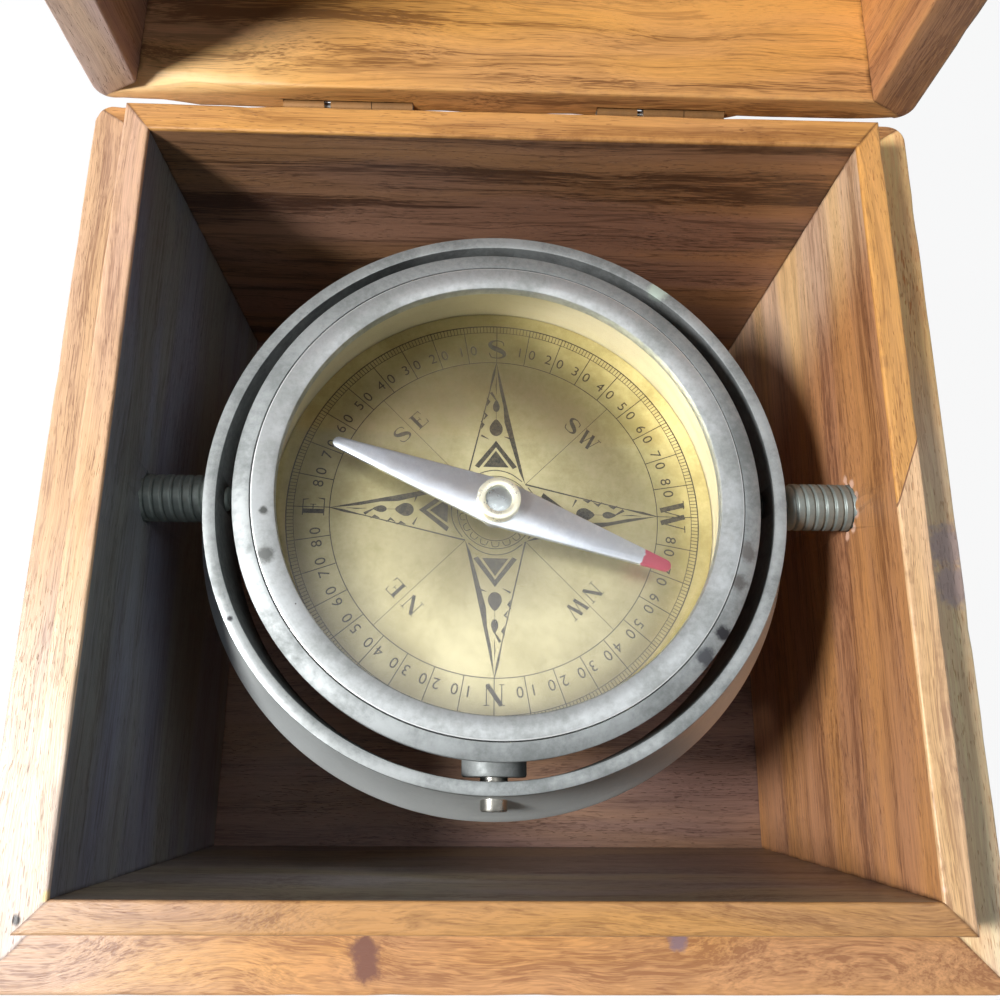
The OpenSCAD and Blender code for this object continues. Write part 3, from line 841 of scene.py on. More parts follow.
def outer_woods():
    """The outer boards' woods, in the order of SIDE_NAMES."""
    return (
        wood("shelf_front_wood", shades(186, 136, 86, light=1.3, dark=0.72), seed=1, bands=0.6, waves=1.4,
             # painted glare: the shelf's left end is paler
             curl=0.7, lines=0.2, pores=0.12, pieces=(((LEFT_END,), shades(196, 160, 126)),),
             stains=((-14.7, -51.7, 63.2, 2.0, KNOT_BROWN), (-14.5, -53.6, 63.2, 1.8, KNOT_BROWN),
                     (19.7, -50.6, 63.2, 1.4, PURPLE_STAIN))),
        # painted light: the right shelf's wood is very pale, standing in for light that the lip's shadow
        # keeps off it; its back end is golden
        wood("shelf_right_wood", shades(240, 206, 168, dark=0.78), "Y", seed=2, pores=1.0,
             pieces=(((BACK_END_PAINTED_LIGHT,), shades(248, 196, 132, dark=0.78)),),
             stains=((55.6, -5.5, 63.2, 3.4, SHADED_STAIN), (56.0, -10.5, 63.2, 3.4, SHADED_STAIN))),
        wood("shelf_back_wood", shades(186, 138, 92), seed=3),
        wood("shelf_left_wood", shades(200, 163, 133), "Y", seed=4, bands=0.6, pores=0.45,
             # painted glare: the shelf's front end is pale grey
             pieces=(((FRONT_END_PAINTED_GLARE,), shades(208, 188, 170)),)),
    )


def lining_woods():
    """The lining boards' woods, in the order of SIDE_NAMES."""
    right_pieces = (
        ((SAPWOOD,), shades(224, 188, 146)),
        ((LIP_TOP,), shades(208, 152, 82)),
        ((LIP_TOP, SCARF), shades(222, 182, 136)),
        ((LIP_TOP, SCARF, SCARF_END), shades(130, 88, 52)),
    )
    return (
        # painted shade: the front wall is a dull grey, the look of the wall in shade; its lip top keeps the
        # golden lit colour
        wood("lining_front_wood", shades(152, 142, 128), seed=5, waves=1.2, curl=0.6, pores=0.25,
             pieces=(((LIP_TOP,), shades(170, 126, 78, light=1.3, dark=0.7)),
                     # painted glare: the lip top's left end is paler
                     ((LIP_TOP, LEFT_END), shades(190, 154, 120)))),
        wood("lining_right_wood", shades(184, 132, 88, dark=0.5), "Y", seed=6, bands=0.9, pieces=right_pieces,
             stains=[(46.6, -44.6, 70.2, 0.7, SPLINTER_PALE)] + splinters()),
        wood("lining_back_wood", shades(156, 116, 86, dark=0.32), seed=7, bands=1.4, lines=1.0,
             pieces=(((LIP_TOP,), shades(196, 144, 84)),)),
        # painted shade: the left wall is a dark bluish grey, the look of the wall in shade; its lip top keeps
        # the lit wood colour
        wood("lining_left_wood", shades(124, 127, 132), "Y", seed=4, bands=0.6, pores=0.45,
             # painted glare: the lip top's front end is pale grey
             pieces=(((LIP_TOP,), shades(206, 167, 130)), ((LIP_TOP, FRONT_END_PAINTED_GLARE), shades(208, 188, 170))),
             stains=((-49.7, -47.7, 70.2, 0.7, DARK_SLIT), (-46.7, -45.5, 70.2, 0.8, FRESH_BREAK))),
    )


def build_case():
    woods = {"outer": outer_woods(), "lining": lining_woods()}
    outer_low = Vector((base_low.x, base_low.y, base_high.z))
    outer_high = Vector((base_high.x, base_high.y, shelf_z))
    for side, side_name in enumerate(SIDE_NAMES):
        direction = {"right": 1, "left": -1}.get(side_name)
        cutters = {}
        if direction:
            cutters["outer"] = [stud_cutter(direction, lip_high.x - 1, stud_end)]
            cutters["lining"] = [stud_cutter(direction, well_high.x, lip_high.x + 1, MOUTH_WIDTH)]
        if side_name == "back":
            cutters["outer"] = hinge_cutters("box_leaf_screws")
        boards = {
            "outer": mitred_board(side, outer_low, outer_high, lip_low, lip_high, side + 1.0, CORNER_ROUND,
                                  cutters.get("outer")),
            "lining": mitred_board(side, lip_low, lip_high, well_low, well_high, side + 11.0,
                                   cutters=cutters.get("lining")),
        }
        for layer, slot in (("outer", "case_wood"), ("lining", "lining_wood")):
            node = f"{layer}_{side_name}"
            add_piece(boards[layer], node + "_board", HOME, woods[layer][side], "case", slot, node)
    floor_wood = wood("floor_wood", shades(138, 108, 90), seed=9)
    floor = panel(base_low, base_high, 21.0)
    add_piece(floor, "base_board", HOME, floor_wood, "case", "case_wood", "base_panel")


# How far the lid's lower edge has bowed towards the case, as (x, distance)
BOW = ((-47.0, 0.0), (-43.0, 1.02), (31.0, 1.02), (33.0, 0.42), (50.0, 0.3), (56.0, 0.0))
BOW_DEPTH = 0.7
BOW_HEIGHT = 1.2


def bow_at(x):
    for (start, first), (end, second) in zip(BOW, BOW[1:]):
        if start <= x <= end:
            return first + (second - first) * (x - start) / (end - start)
    return 0.0


def bow_edge(bm, back, rim):
    for vertex in bm.verts:
        if vertex.co.y > back - BOW_DEPTH and vertex.co.z < rim + BOW_HEIGHT:
            vertex.co.y += bow_at(vertex.co.x)


WORN_POINT = Vector((-50.0, 56.8, 65.7))
WORN_NORMAL = Vector((-0.055, -0.62, 0.78)).normalized()


def build_lid():
    """The lid's boards, built as if it lay shut and then turned open about the hinge."""
    open_turn = Matrix.Translation(hinge_point) @ Matrix.Rotation(math.radians(-90), 4, "X")
    to_shut = open_turn.inverted()

    def shut_box(node):
        ends = [to_shut @ corner for corner in box_mm(node)]
        return (Vector([min(end[axis] for end in ends) for axis in range(3)]),
                Vector([max(end[axis] for end in ends) for axis in range(3)]))

    front_low, front_high = shut_box("lid_front")
    back_low, back_high = shut_box("lid_back")
    left_low, left_high = shut_box("lid_left")
    right_low, right_high = shut_box("lid_right")
    outer_low = Vector((left_low.x, front_low.y, front_low.z))
    outer_high = Vector((right_high.x, back_high.y, front_high.z))
    inner_low = Vector((left_high.x, front_high.y, front_low.z))
    inner_high = Vector((right_low.x, back_low.y, front_high.z))
    woods = (
        wood("lid_front_wood", shades(176, 126, 78), seed=13),
        wood("lid_right_wood", shades(188, 136, 88), "Z", seed=14),
        wood("lid_back_wood", shades(204, 152, 88, dark=0.42), seed=15, bands=1.5, waves=0.7, lines=0.7,
             pores=0.2, balance=0.52, pieces=(((LEFT_END,), shades(228, 190, 136, dark=0.5)),)),
        wood("lid_left_wood", shades(178, 152, 136), "Z", seed=16),
    )
    for side, side_name in enumerate(SIDE_NAMES):
        cutters = None
        worn = None
        if side_name == "back":
            cutters = hinge_cutters("lid_leaf_screws", to_shut)
            worn = (to_shut @ WORN_POINT, to_shut.to_3x3() @ WORN_NORMAL)
        rail = mitred_board(side, outer_low, outer_high, inner_low, inner_high, side + 31.0, CORNER_ROUND,
                            cutters, worn)
        if side_name == "back":
            bow_edge(rail, outer_high.y, outer_low.z)
        node = "lid_" + side_name
        add_piece(rail, node + "_board", open_turn, woods[side], "lid", "lid_wood", node)
    # painted shade: the lid's top board is a darker brown, the look of its shaded inside
    top_wood = wood("lid_top_wood", shades(132, 90, 58), "Z", seed=17, waves=0.8)
    top = panel(*shut_box("lid_top"), 41.0)
    add_piece(top, "lid_top_board", open_turn, top_wood, "lid", "lid_wood", "lid_top")


# Metalwork

# painted sheen: a pale tint for the ring's flared skirt, brighter than its reflections give
SKIRT_PAINTED_SHEEN = srgb(224, 229, 228)
# painted shade: near black for the ring's bore, in the dark gap round the bowl
BORE_PAINTED_SHADE = srgb(40, 40, 40)
BARE_BRASS = srgb(214, 206, 180)
# painted highlight: near white for the bezel's outer top edge, where it catches the light
BEZEL_PAINTED_HIGHLIGHT = srgb(246, 247, 246)
DARK_SPOT = srgb(58, 58, 62)
VERDIGRIS = srgb(184, 198, 186)


def build_studs():
    steel = tarnished_metal("stud_steel", stud_places["stud_right"], amount=0.6, pitch=0.3, metallic=0.55,
                            duller=0.2)
    for node, place in stud_places.items():
        _, radius, low, high = turned_size(node, place)
        bevel_end = STUD_SHOULDER + STUD_BEVEL
        outline = [(0, low), (STUD_PIVOT_RADIUS - 0.2, low), (STUD_PIVOT_RADIUS, low + 0.2),
                   (STUD_PIVOT_RADIUS, STUD_SHOULDER), (radius - STUD_BEVEL, STUD_SHOULDER),
                   (radius, bevel_end)]
        rows = int((high - bevel_end) / (THREAD_PITCH / 16))
        outline += [(radius, bevel_end + (high - bevel_end) * row / rows) for row in range(1, rows + 1)]
        outline.append((0, high))
        bm = turn(outline, closed=False, steps=72)
        for vertex in bm.verts:
            past_shoulder = vertex.co.z - STUD_SHOULDER
            reach = vertex.co.xy.length
            if past_shoulder < SHOULDER_GAP or reach < radius - STUD_BEVEL + SHOULDER_GAP:
                continue
            angle = math.atan2(vertex.co.y, vertex.co.x)
            phase = (vertex.co.z / THREAD_PITCH - angle / FULL_TURN) % 1.0
            groove = THREAD_DEPTH * max(0.0, 1 - abs(phase - 0.5) / 0.2)
            reach = min(reach, radius - groove, radius - STUD_BEVEL + past_shoulder)
            vertex.co.xy = Vector((math.cos(angle), math.sin(angle))) * reach
        add_piece(bm, node + "_threaded", place, steel, "case", "stud_steel", node, sharp=50)


def sideways(place, side):
    """The place turned so that its Z axis points to the front, for side 1, or to the back."""
    return place @ Matrix.Rotation(math.radians(90 * side), 4, "X")


def build_ring():
    bore, skirt, low, high = turned_size("gimbal_ring", ring_place)
    flare = skirt - RING_TOP_RADIUS
    height = high - low
    shares = [step / SKIRT_STEPS for step in range(SKIRT_STEPS + 1)]
    slope = [(RING_TOP_RADIUS + flare * share ** SKIRT_CURVE, high - height * share) for share in shares]
    bm = turn(rounded_outline([(bore, low), (bore, high)] + slope, 0.18))
    facing_radius = stud_radius + FACING_GAP
    bm = subtract(bm, [
        rod(STUD_PIVOT_RADIUS + PIVOT_GAP, -CUTTER_REACH, CUTTER_REACH, place=ALONG_X),
        rod(pin_radius, -CUTTER_REACH, CUTTER_REACH, place=ALONG_Y),
        rod(facing_radius, STUD_FACING, CUTTER_REACH, place=ALONG_X),
        rod(facing_radius, -CUTTER_REACH, -STUD_FACING, place=ALONG_X),
    ])
    # painted shade: the bore is marked for near black
    mark(bm, "inside", lambda reach, height: reach < bore + 0.06 and height < high - 0.25)
    # painted sheen: the skirt is marked for the pale tint
    mark(bm, "skirt", lambda reach, height: reach > RING_TOP_RADIUS + 0.05, 0.8)
    patches = ((22.2, 29.5, 5.5, 1.9, VERDIGRIS), (-32.4, -17.0, 5.3, 0.5, DARK_SPOT))
    nickel = tarnished_metal("ring_nickel", ring_place, pitch=0.22, line_depth=0.000010, patches=patches,
                             metallic=0.55, duller=0.14)
    tint_where(nickel, "skirt", SKIRT_PAINTED_SHEEN)
    tint_where(nickel, "inside", BORE_PAINTED_SHADE)
    add_piece(bm, "gimbal_ring_turned", ring_place, nickel, "ring", "tarnished_nickel", "gimbal_ring")
    steel = tarnished_metal("pin_steel", ring_place)
    for node, side in (("bowl_pivot_front", 1), ("bowl_pivot_back", -1)):
        place = sideways(ring_place, side)
        _, radius, inner, outer = turned_size(node, place)
        pin = rod(radius, inner, outer, bevel_size=0.35)
        add_piece(pin, node + "_pin", place, steel, "ring", "pin_steel", node)


def quarter_oval(radius, depth):
    """The bowl's rounded bottom, from its straight wall down to its foot."""
    last = math.acos(BOWL_FOOT_RADIUS / radius)
    outline = []
    for step in range(OVAL_STEPS + 1):
        angle = last * step / OVAL_STEPS
        outline.append((radius * math.cos(angle), -BOWL_STRAIGHT - depth * math.sin(angle) / math.sin(last)))
    return outline


def build_bowl():
    _, rim_radius, bottom, top = turned_size("bowl", bowl_place)
    _, glass_radius, glass_low, _ = turned_size("cover_glass", bowl_place)
    dial_low = turned_size("dial_plate", bowl_place)[2]
    recess = glass_radius + SEAT_GAP
    rim_under = top - RIM_HEIGHT
    depth = -BOWL_STRAIGHT - bottom
    inner_radius = BOWL_BORE_RADIUS - DIAL_LEDGE
    floor = bottom + BOWL_WALL
    inside = quarter_oval(inner_radius, depth - BOWL_WALL)
    inside.reverse()
    upper = [(inner_radius, dial_low), (BOWL_BORE_RADIUS, dial_low), (BOWL_BORE_RADIUS, glass_low),
             (recess, glass_low), (recess, top), (rim_radius, top - RIM_FALL), (rim_radius, rim_under),
             (BOWL_WALL_RADIUS, rim_under - (rim_radius - BOWL_WALL_RADIUS))]
    outline = [(0, floor)] + inside + upper + quarter_oval(BOWL_WALL_RADIUS, depth) + [(0, bottom)]
    bm = turn(rounded_outline(outline, 0.16, closed=False), closed=False)
    mark(bm, "brassy", lambda reach, height: reach < recess - 0.2 and height > floor - 0.01)
    patches = (
        (26.6, -17.6, 10.0, 1.2, DARK_SPOT),
        (24.4, -20.6, 10.2, 1.5, srgb(92, 94, 98)),
        (30.3, -7.6, 10.1, 1.6, srgb(120, 118, 116)),
        (28.9, -11.4, 10.1, 1.3, srgb(110, 108, 106)),
    )
    nickel = tarnished_metal("bowl_nickel", bowl_place, patches=patches, metallic=0.6, duller=0.3)
    tint_where(nickel, "brassy", BARE_BRASS)
    add_piece(bm, "bowl_turned", bowl_place, nickel, "bowl", "tarnished_nickel", "bowl")
    foot = BOWL_BORE_RADIUS + 0.5
    bore = pin_radius + PIVOT_GAP
    for node, side in (("pivot_boss_front", 1), ("pivot_boss_back", -1)):
        place = sideways(bowl_place, side)
        _, radius, _, face = turned_size(node, place)
        outline = rounded_outline([(bore, foot), (bore, face), (radius, face), (radius, foot)], 0.3)
        boss = turn(outline, steps=96)
        add_piece(boss, node + "_turned", place, nickel, "bowl", "tarnished_nickel", node)


def build_bezel():
    bore, radius, low, high = turned_size("bezel_ring", bowl_place)
    bm = turn(rounded_outline([(bore, low), (bore, high - BEZEL_FALL), (radius, high), (radius, low)], 0.22))
    # painted highlight: a thin band at the bezel's outer top edge is marked for near white
    mark(bm, "bright", lambda reach, height: radius - 0.2 < reach < radius - 0.02 and height > high - 0.2)
    patches = ((-27.9, -9.4, 10.0, 1.3, srgb(112, 114, 112)), (-28.6, -4.0, 10.0, 0.7, srgb(96, 98, 96)))
    nickel = tarnished_metal("bezel_nickel", bowl_place, patches=patches, metallic=0.72, duller=0.1)
    tint_where(nickel, "bright", BEZEL_PAINTED_HIGHLIGHT)
    add_piece(bm, "bezel_turned", bowl_place, nickel, "bowl", "tarnished_nickel", "bezel_ring")


# Dial

PRINT_BLACK = srgb(40, 38, 32)
PRINT_WORN = srgb(84, 78, 60)


def build_dial():
    post_radius, radius, low, high = turned_size("dial_plate", bowl_place)
    outline = rounded_outline([(post_radius, low), (post_radius, high), (radius, high), (radius, low)], 0.05)
    material, tree = new_material("dial_brass")
    film = stained_film(tree, "dial_brass", local_vector(tree, bowl_place), 0.2)
    surface(tree, Base_Color=film["Color"], Roughness=polished(tree, film), Metallic=1.0,
            Normal=bump(tree, film["Height"], 0.00001))
    add_piece(turn(outline), "dial_disc", bowl_place, material, "bowl", "dial_brass", "dial_plate")
    build_print(high)


def ring_line(bm, radius, width):
    """A flat printed circle."""
    ends = [bm.verts.new((radius + way * width / 2, 0, 0)) for way in (-1, 1)]
    edge = bm.edges.new(ends)
    bmesh.ops.spin(bm, geom=ends + [edge], cent=ZERO, axis=UP, angle=FULL_TURN, steps=240, use_merge=True)


def smooth_points(points):
    """Points on a smooth curve through (x, y, width) points."""
    line = []
    for index in range(len(points) - 1):
        nearby = (max(index - 1, 0), index, index + 1, min(index + 2, len(points) - 1))
        before, first, second, after = [Vector(points[number]) for number in nearby]
        for step in range(CURVE_STEPS):
            t = step / CURVE_STEPS
            line.append(0.5 * (2 * first + (second - before) * t
                               + (2 * before - 5 * first + 4 * second - after) * t ** 2
                               + (3 * first - before - 3 * second + after) * t ** 3))
    line.append(Vector(points[-1]))
    return line


def stroke(bm, points, place):
    """A flat stroke of changing width through (x, y, width) points."""
    pairs = []
    for index, point in enumerate(points):
        ahead = Vector(points[min(index + 1, len(points) - 1)])
        behind = Vector(points[max(index - 1, 0)])
        side = Vector((behind.y - ahead.y, ahead.x - behind.x)).normalized() * point[2] / 2
        pairs.append([bm.verts.new(place @ Vector((point[0] + way * side.x, point[1] + way * side.y, 0)))
                      for way in (-1, 1)])
    for (a, b), (c, d) in zip(pairs, pairs[1:]):
        bm.faces.new((a, c, d, b))


def blot(bm, outline, place):
    """A filled flat shape."""
    bm.faces.new([bm.verts.new(place @ Vector((x, y, 0))) for x, y in outline])


def drop(middle, width, height, point):
    """A round or pointed drop's outline, its point away from the middle of the dial."""
    outline = []
    for step in range(20):
        angle = FULL_TURN * step / 20
        pull = 1 + point * max(0.0, math.cos(angle)) ** 6
        outline.append((width / 2 * math.sin(angle), middle + height / 2 * math.cos(angle) * pull))
    return outline


LETTER_STROKES = {
    "N": [((-0.36, 0, 0.05), (-0.36, 1, 0.05)), ((0.36, 0, 0.05), (0.36, 1, 0.05)),
          ((-0.34, 0.98, 0.21), (0.34, 0.02, 0.21)), ((-0.5, 0.02, 0.04), (-0.22, 0.02, 0.04)),
          ((-0.52, 0.98, 0.04), (-0.25, 0.98, 0.04)), ((0.22, 0.98, 0.04), (0.5, 0.98, 0.04))],
    "E": [((-0.2, 0, 0.21), (-0.2, 1, 0.21)), ((-0.4, 0.98, 0.045), (0.34, 0.98, 0.045)),
          ((0.34, 1, 0.07), (0.38, 0.72, 0.02)), ((-0.2, 0.52, 0.045), (0.12, 0.52, 0.045)),
          ((0.12, 0.38, 0.03), (0.12, 0.66, 0.03)), ((-0.4, 0.02, 0.045), (0.38, 0.02, 0.045)),
          ((0.38, 0, 0.08), (0.43, 0.32, 0.02))],
    "W": [((-0.52, 1, 0.2), (-0.26, 0.02, 0.2)), ((-0.26, 0.02, 0.045), (0.0, 1, 0.045)),
          ((-0.02, 1, 0.2), (0.26, 0.02, 0.2)), ((0.26, 0.02, 0.045), (0.5, 1, 0.045)),
          ((-0.7, 0.98, 0.04), (-0.34, 0.98, 0.04)), ((0.36, 0.98, 0.04), (0.64, 0.98, 0.04))],
    "S": [smooth_points(((0.34, 0.70, 0.05), (0.30, 0.88, 0.06), (0.05, 0.97, 0.05), (-0.22, 0.92, 0.10),
                         (-0.34, 0.77, 0.18), (-0.24, 0.62, 0.22), (0.02, 0.50, 0.27), (0.28, 0.37, 0.23),
                         (0.37, 0.21, 0.17), (0.24, 0.07, 0.09), (0.0, 0.03, 0.05), (-0.26, 0.08, 0.06),
                         (-0.37, 0.30, 0.05)))],
}


def outward(bearing, radius):
    """A frame on the dial at a compass bearing, its Y axis pointing out. The dial's south is at the top."""
    return Matrix.Rotation(math.radians(-bearing), 4, "Z") @ Matrix.Translation((0, radius, 0))


def letter(bm, name, place, height):
    sized = place @ Matrix.Scale(height, 4) @ Matrix.Translation((0, -0.5, 0))
    for points in LETTER_STROKES[name]:
        stroke(bm, points, sized)


def digit_meshes(height):
    """A mesh for each digit, in Blender's own plain figures, centred."""
    made = {}
    for character in "012345678":
        curve = bpy.data.curves.new("digit", "FONT")
        curve.body = character
        curve.size = height * 1.4
        curve.align_x = "CENTER"
        curve.align_y = "CENTER"
        helper = bpy.data.objects.new("digit", curve)
        bpy.context.scene.collection.objects.link(helper)
        made[character] = bpy.data.meshes.new_from_object(helper)
        bpy.data.objects.remove(helper)
    return made


def stamp(bm, mesh, place):
    """Adds a copy of a flat mesh."""
    before = set(bm.verts)
    bm.from_mesh(mesh)
    new = [vertex for vertex in bm.verts if vertex not in before]
    bmesh.ops.transform(bm, matrix=place, verts=new)


def star_point(bm, place):
    """One engraved point of the dial's star. Its Y axis points out, and its dark side is clockwise."""
    notch = STAR_NOTCH_RADIUS * math.sin(math.radians(45))
    tip = BAND_RADIUS
    shapes = [
        [(0, tip), (notch, notch), (notch - 0.75, notch + 1.6), (1.55, 11.6), (1.15, 13.0), (1.0, 15.4),
         (0.45, 18.0), (0.2, 20.0)],
        drop(15.3, 0.95, 1.5, 0.5),
        drop(12.0, 1.85, 2.1, 0.4),
        [(0, 10.3), (0.42, 9.7), (2.9, 6.5), (2.3, 6.2), (0, 9.3)],
        [(0, 10.3), (-0.42, 9.7), (-2.9, 6.5), (-2.3, 6.2), (0, 9.3)],
        [(0, 8.8), (1.75, 6.4), (-1.75, 6.4)],
    ]
    lines = [
        [(0, tip, 0.1), (-0.42, 20.2, 0.36), (-0.9, 17.9, 0.14)],
        [(-0.86, 18.0, 0.14), (-notch, notch, 0.22)],
        [(0.02, 19.9, 0.03), (-0.06, 18.6, 0.16), (0.02, 17.2, 0.05)],
        [(-0.75, 17.5, 0.42), (0.05, 16.2, 0.12)],
        [(0, 14.8, 0.06), (0, 12.9, 0.06)],
        [(-2.05, 11.0, 0.3), (-1.0, 10.45, 0.06)],
        [(2.1, 10.6, 0.3), (1.1, 10.9, 0.06)],
        smooth_points([(-3.6, 4.4, 0.14), (-2.0, 5.5, 0.14), (0, 5.95, 0.14), (2.0, 5.5, 0.14),
                       (3.6, 4.4, 0.14)]),
    ]
    for along, length in ((16.1, 0.55), (14.0, 0.8), (12.6, 0.55)):
        edge = -notch * (tip - along) / (tip - notch)
        lines.append([(edge, along + 0.55, 0.08), (edge + length * 0.6, along, 0.38),
                      (edge + 0.05, along - 0.65, 0.08)])
    for outline in shapes:
        blot(bm, outline, place)
    for points in lines:
        stroke(bm, points, place)


# Printed rings as (radius, width), main and small letters as (letters, bearing, height)
RINGS = ((DEGREE_RADIUS, 0.17), (TICK_RADIUS, 0.09), (BAND_RADIUS, 0.12), (5.1, 0.12), (4.0, 0.1))
MAIN_LETTERS = (("S", 0, 2.9), ("W", 90, 3.4), ("N", 180, 2.7), ("E", 270, 2.9))
SMALL_LETTERS = (("SW", 45), ("NW", 135), ("NE", 225), ("SE", 315))
SMALL_LETTER_HEIGHT = 2.2
SMALL_LETTER_SHIFT = 1.55
DIGIT_SHIFT = 2.1
SCALLOP = ((-0.5, 0, 0.12), (-0.35, 0.62, 0.12), (0.35, 0.62, 0.12), (0.5, 0, 0.12))
SCALLOP_RADIUS = 4.15


def print_scale(bm):
    """The rings, the degree marks and their numbers."""
    for radius, width in RINGS:
        ring_line(bm, radius, width)
    for degree in range(360):
        start, width = (TICK_RADIUS, 0.09) if degree % 10 else (BAND_RADIUS, 0.12)
        stroke(bm, [(0, 0, width), (0, DEGREE_RADIUS - start, width)], outward(degree, start))
    digits = digit_meshes(DIGIT_HEIGHT)
    for pole, direction in ((0, 1), (0, -1), (180, 1), (180, -1)):
        for ten in range(1, 9):
            bearing = pole + direction * ten * 10
            stamp(bm, digits[str(ten)], outward(bearing - DIGIT_SHIFT, DIGIT_RADIUS))
            stamp(bm, digits["0"], outward(bearing + DIGIT_SHIFT, DIGIT_RADIUS))


def print_points(bm):
    """The letters of the points, the lines between them, the star and the scallops round its middle."""
    for name, bearing, height in MAIN_LETTERS:
        letter(bm, name, outward(bearing, LETTER_RADIUS), height)
    for names, bearing in SMALL_LETTERS:
        for name, side in zip(names, (-1, 1)):
            shift = Matrix.Translation((side * SMALL_LETTER_SHIFT, 0, 0))
            letter(bm, name, outward(bearing, SMALL_LETTER_RADIUS) @ shift, SMALL_LETTER_HEIGHT)
        length = BAND_RADIUS - STAR_NOTCH_RADIUS
        stroke(bm, [(0, 0, 0.07), (0, length, 0.07)], outward(bearing, STAR_NOTCH_RADIUS))
    for bearing in range(0, 360, 90):
        star_point(bm, outward(bearing, 0))
    for bearing in range(0, 360, 20):
        stroke(bm, smooth_points(SCALLOP), outward(bearing, SCALLOP_RADIUS))


def build_print(dial_top):
    bm = bmesh.new()
    print_scale(bm)
    print_points(bm)
    material, tree = new_material("engraving_black")
    worn = clouds(tree, local_vector(tree, bowl_place), scale=2.4, detail=4.0, roughness=0.7)
    colour = blend_colours(tree, between(tree, worn, 0.35, 0.7), PRINT_BLACK, PRINT_WORN)
    surface(tree, Base_Color=colour, Roughness=0.6, Metallic=0.2)
    lifted = bowl_place @ Matrix.Translation((0, 0, dial_top + PRINT_RISE))
    bmesh.ops.recalc_face_normals(bm, faces=bm.faces)
    for face in bm.faces:
        if face.normal.z < 0:
            face.normal_flip()
    add_piece(bm, "dial_engraving", lifted, material, "bowl", "dial_brass")


# Needle

RED_PAINT = srgb(160, 48, 70)


def needle_outline(red_reach, plain_reach):
    tip_round = NEEDLE_TIP_WIDTH / 2
    outline = []
    for way, reach in ((1, red_reach), (-1, plain_reach)):
        for step in range(9):
            angle = math.radians(-90 + 22.5 * step)
            x = reach - tip_round + tip_round * math.cos(angle)
            outline.append((way * x, way * tip_round * math.sin(angle)))
        shoulder = way * (NEEDLE_WIDTH / 2 - 0.1)
        outline += [(way * SHOULDER_REACH, shoulder), (0, way * NEEDLE_WIDTH / 2),
                    (-way * SHOULDER_REACH, shoulder)]
    return outline


def needle_material(red_reach):
    """Bright steel with a painted end."""
    material, tree = new_material("needle_steel")
    vector = local_vector(tree, needle_place)
    film = stained_film(tree, "needle_steel", vector, 0.1)
    brushed = clouds(tree, vector_math(tree, "MULTIPLY", vector, (0.3, 9.0, 9.0)), detail=3.0)
    parts = add_node(tree, "ShaderNodeSeparateXYZ", {0: vector}).outputs
    ragged = plus(tree, parts["X"], clouds(tree, vector, scale=1.6, detail=3.0))
    paint_edge = red_reach - RED_TIP
    painted = between(tree, ragged, paint_edge + 0.3, paint_edge + 0.5)
    colour = blend_colours(tree, painted, film["Color"], RED_PAINT)
    bare = times(tree, minus(tree, 1.0, painted), 0.95)
    surface(tree, Base_Color=colour, Roughness=polished(tree, film), Metallic=bare,
            Normal=bump(tree, brushed, 0.000006))
    return material


def build_needle():
    _, red_reach, low, high = turned_size("needle_blade", needle_place)
    to_needle = needle_place.inverted()
    blade_vertices = frame["nodes"]["needle_blade"].data.vertices
    plain_reach = -min((to_needle @ (vertex.co / MM)).x for vertex in blade_vertices)
    bm = bmesh.new()
    face = bm.faces.new([bm.verts.new((x, y, low)) for x, y in needle_outline(red_reach, plain_reach)])
    raised = bmesh.ops.extrude_face_region(bm, geom=[face])["geom"]
    top_verts = [part for part in raised if isinstance(part, bmesh.types.BMVert)]
    bmesh.ops.translate(bm, vec=(0, 0, high - low), verts=top_verts)
    bmesh.ops.recalc_face_normals(bm, faces=bm.faces)
    top_edges = [edge for edge in bm.edges if all(vertex.co.z > high - 0.01 for vertex in edge.verts)]
    bevel(bm, top_edges, NEEDLE_BEVEL, 2)
    add_piece(bm, "needle_steel_blade", needle_place, needle_material(red_reach), "needle", "needle_steel",
              "needle_blade")


def build_cap():
    bore, radius, low, high = turned_size("needle_cap", needle_place)
    _, disc_radius, disc_low, disc_high = turned_size("cap_bearing", needle_place)
    _, _, blade_low, blade_high = turned_size("needle_blade", needle_place)
    outline = [(bore, low), (CAP_FOOT_RADIUS, low), (CAP_FOOT_RADIUS, blade_low), (radius - 0.5, blade_low),
               (radius, blade_high), (radius, high), (disc_radius, high), (disc_radius, disc_low),
               (bore, disc_low)]
    cap = turn(rounded_outline(outline, 0.28), steps=128)
    brass = tarnished_metal("cap_brass", needle_place, amount=0.1, pitch=0.3, metallic=0.7)
    add_piece(cap, "cap_turned", needle_place, brass, "needle", "cap_brass", "needle_cap")
    disc = rod(disc_radius, disc_low, disc_high, steps=96, bevel_size=0.12)
    steel = tarnished_metal("bearing_steel", needle_place, amount=0.2)
    add_piece(disc, "bearing_disc", needle_place, steel, "needle", "pin_steel", "cap_bearing")


# Carried-over nodes

def clear_glass():
    material, tree = new_material("cover_glass")
    surface(tree, Base_Color=WHITE, Roughness=0.0, IOR=1.45, Transmission_Weight=1.0)
    path = add_node(tree, "ShaderNodeLightPath").outputs
    lets_through = calculate(tree, "MAXIMUM", path["Is Shadow Ray"], path["Is Diffuse Ray"])
    mix_surface(tree, lets_through, add_node(tree, "ShaderNodeBsdfTransparent"))
    return material


def repaint_nodes():
    """Gives their materials to the nodes that no piece replaces."""
    repainted = (
        (tarnished_metal("hinge_brass", HOME, amount=0.8, metallic=0.5, duller=0.2),
         ("box_leaf_left", "box_leaf_right", "lid_leaf_left", "lid_leaf_right", "box_leaf_screws",
          "lid_leaf_screws")),
        (tarnished_metal("hidden_steel", HOME), ("hinge_pin_left", "hinge_pin_right", "needle_post")),
        (tarnished_metal("ballast_metal", HOME), ("ballast_weight",)),
        (clear_glass(), ("cover_glass",)),
    )
    for material, nodes in repainted:
        for node in nodes:
            materials = frame["nodes"][node].data.materials
            materials.clear()
            materials.append(material)


# Stage, light and camera

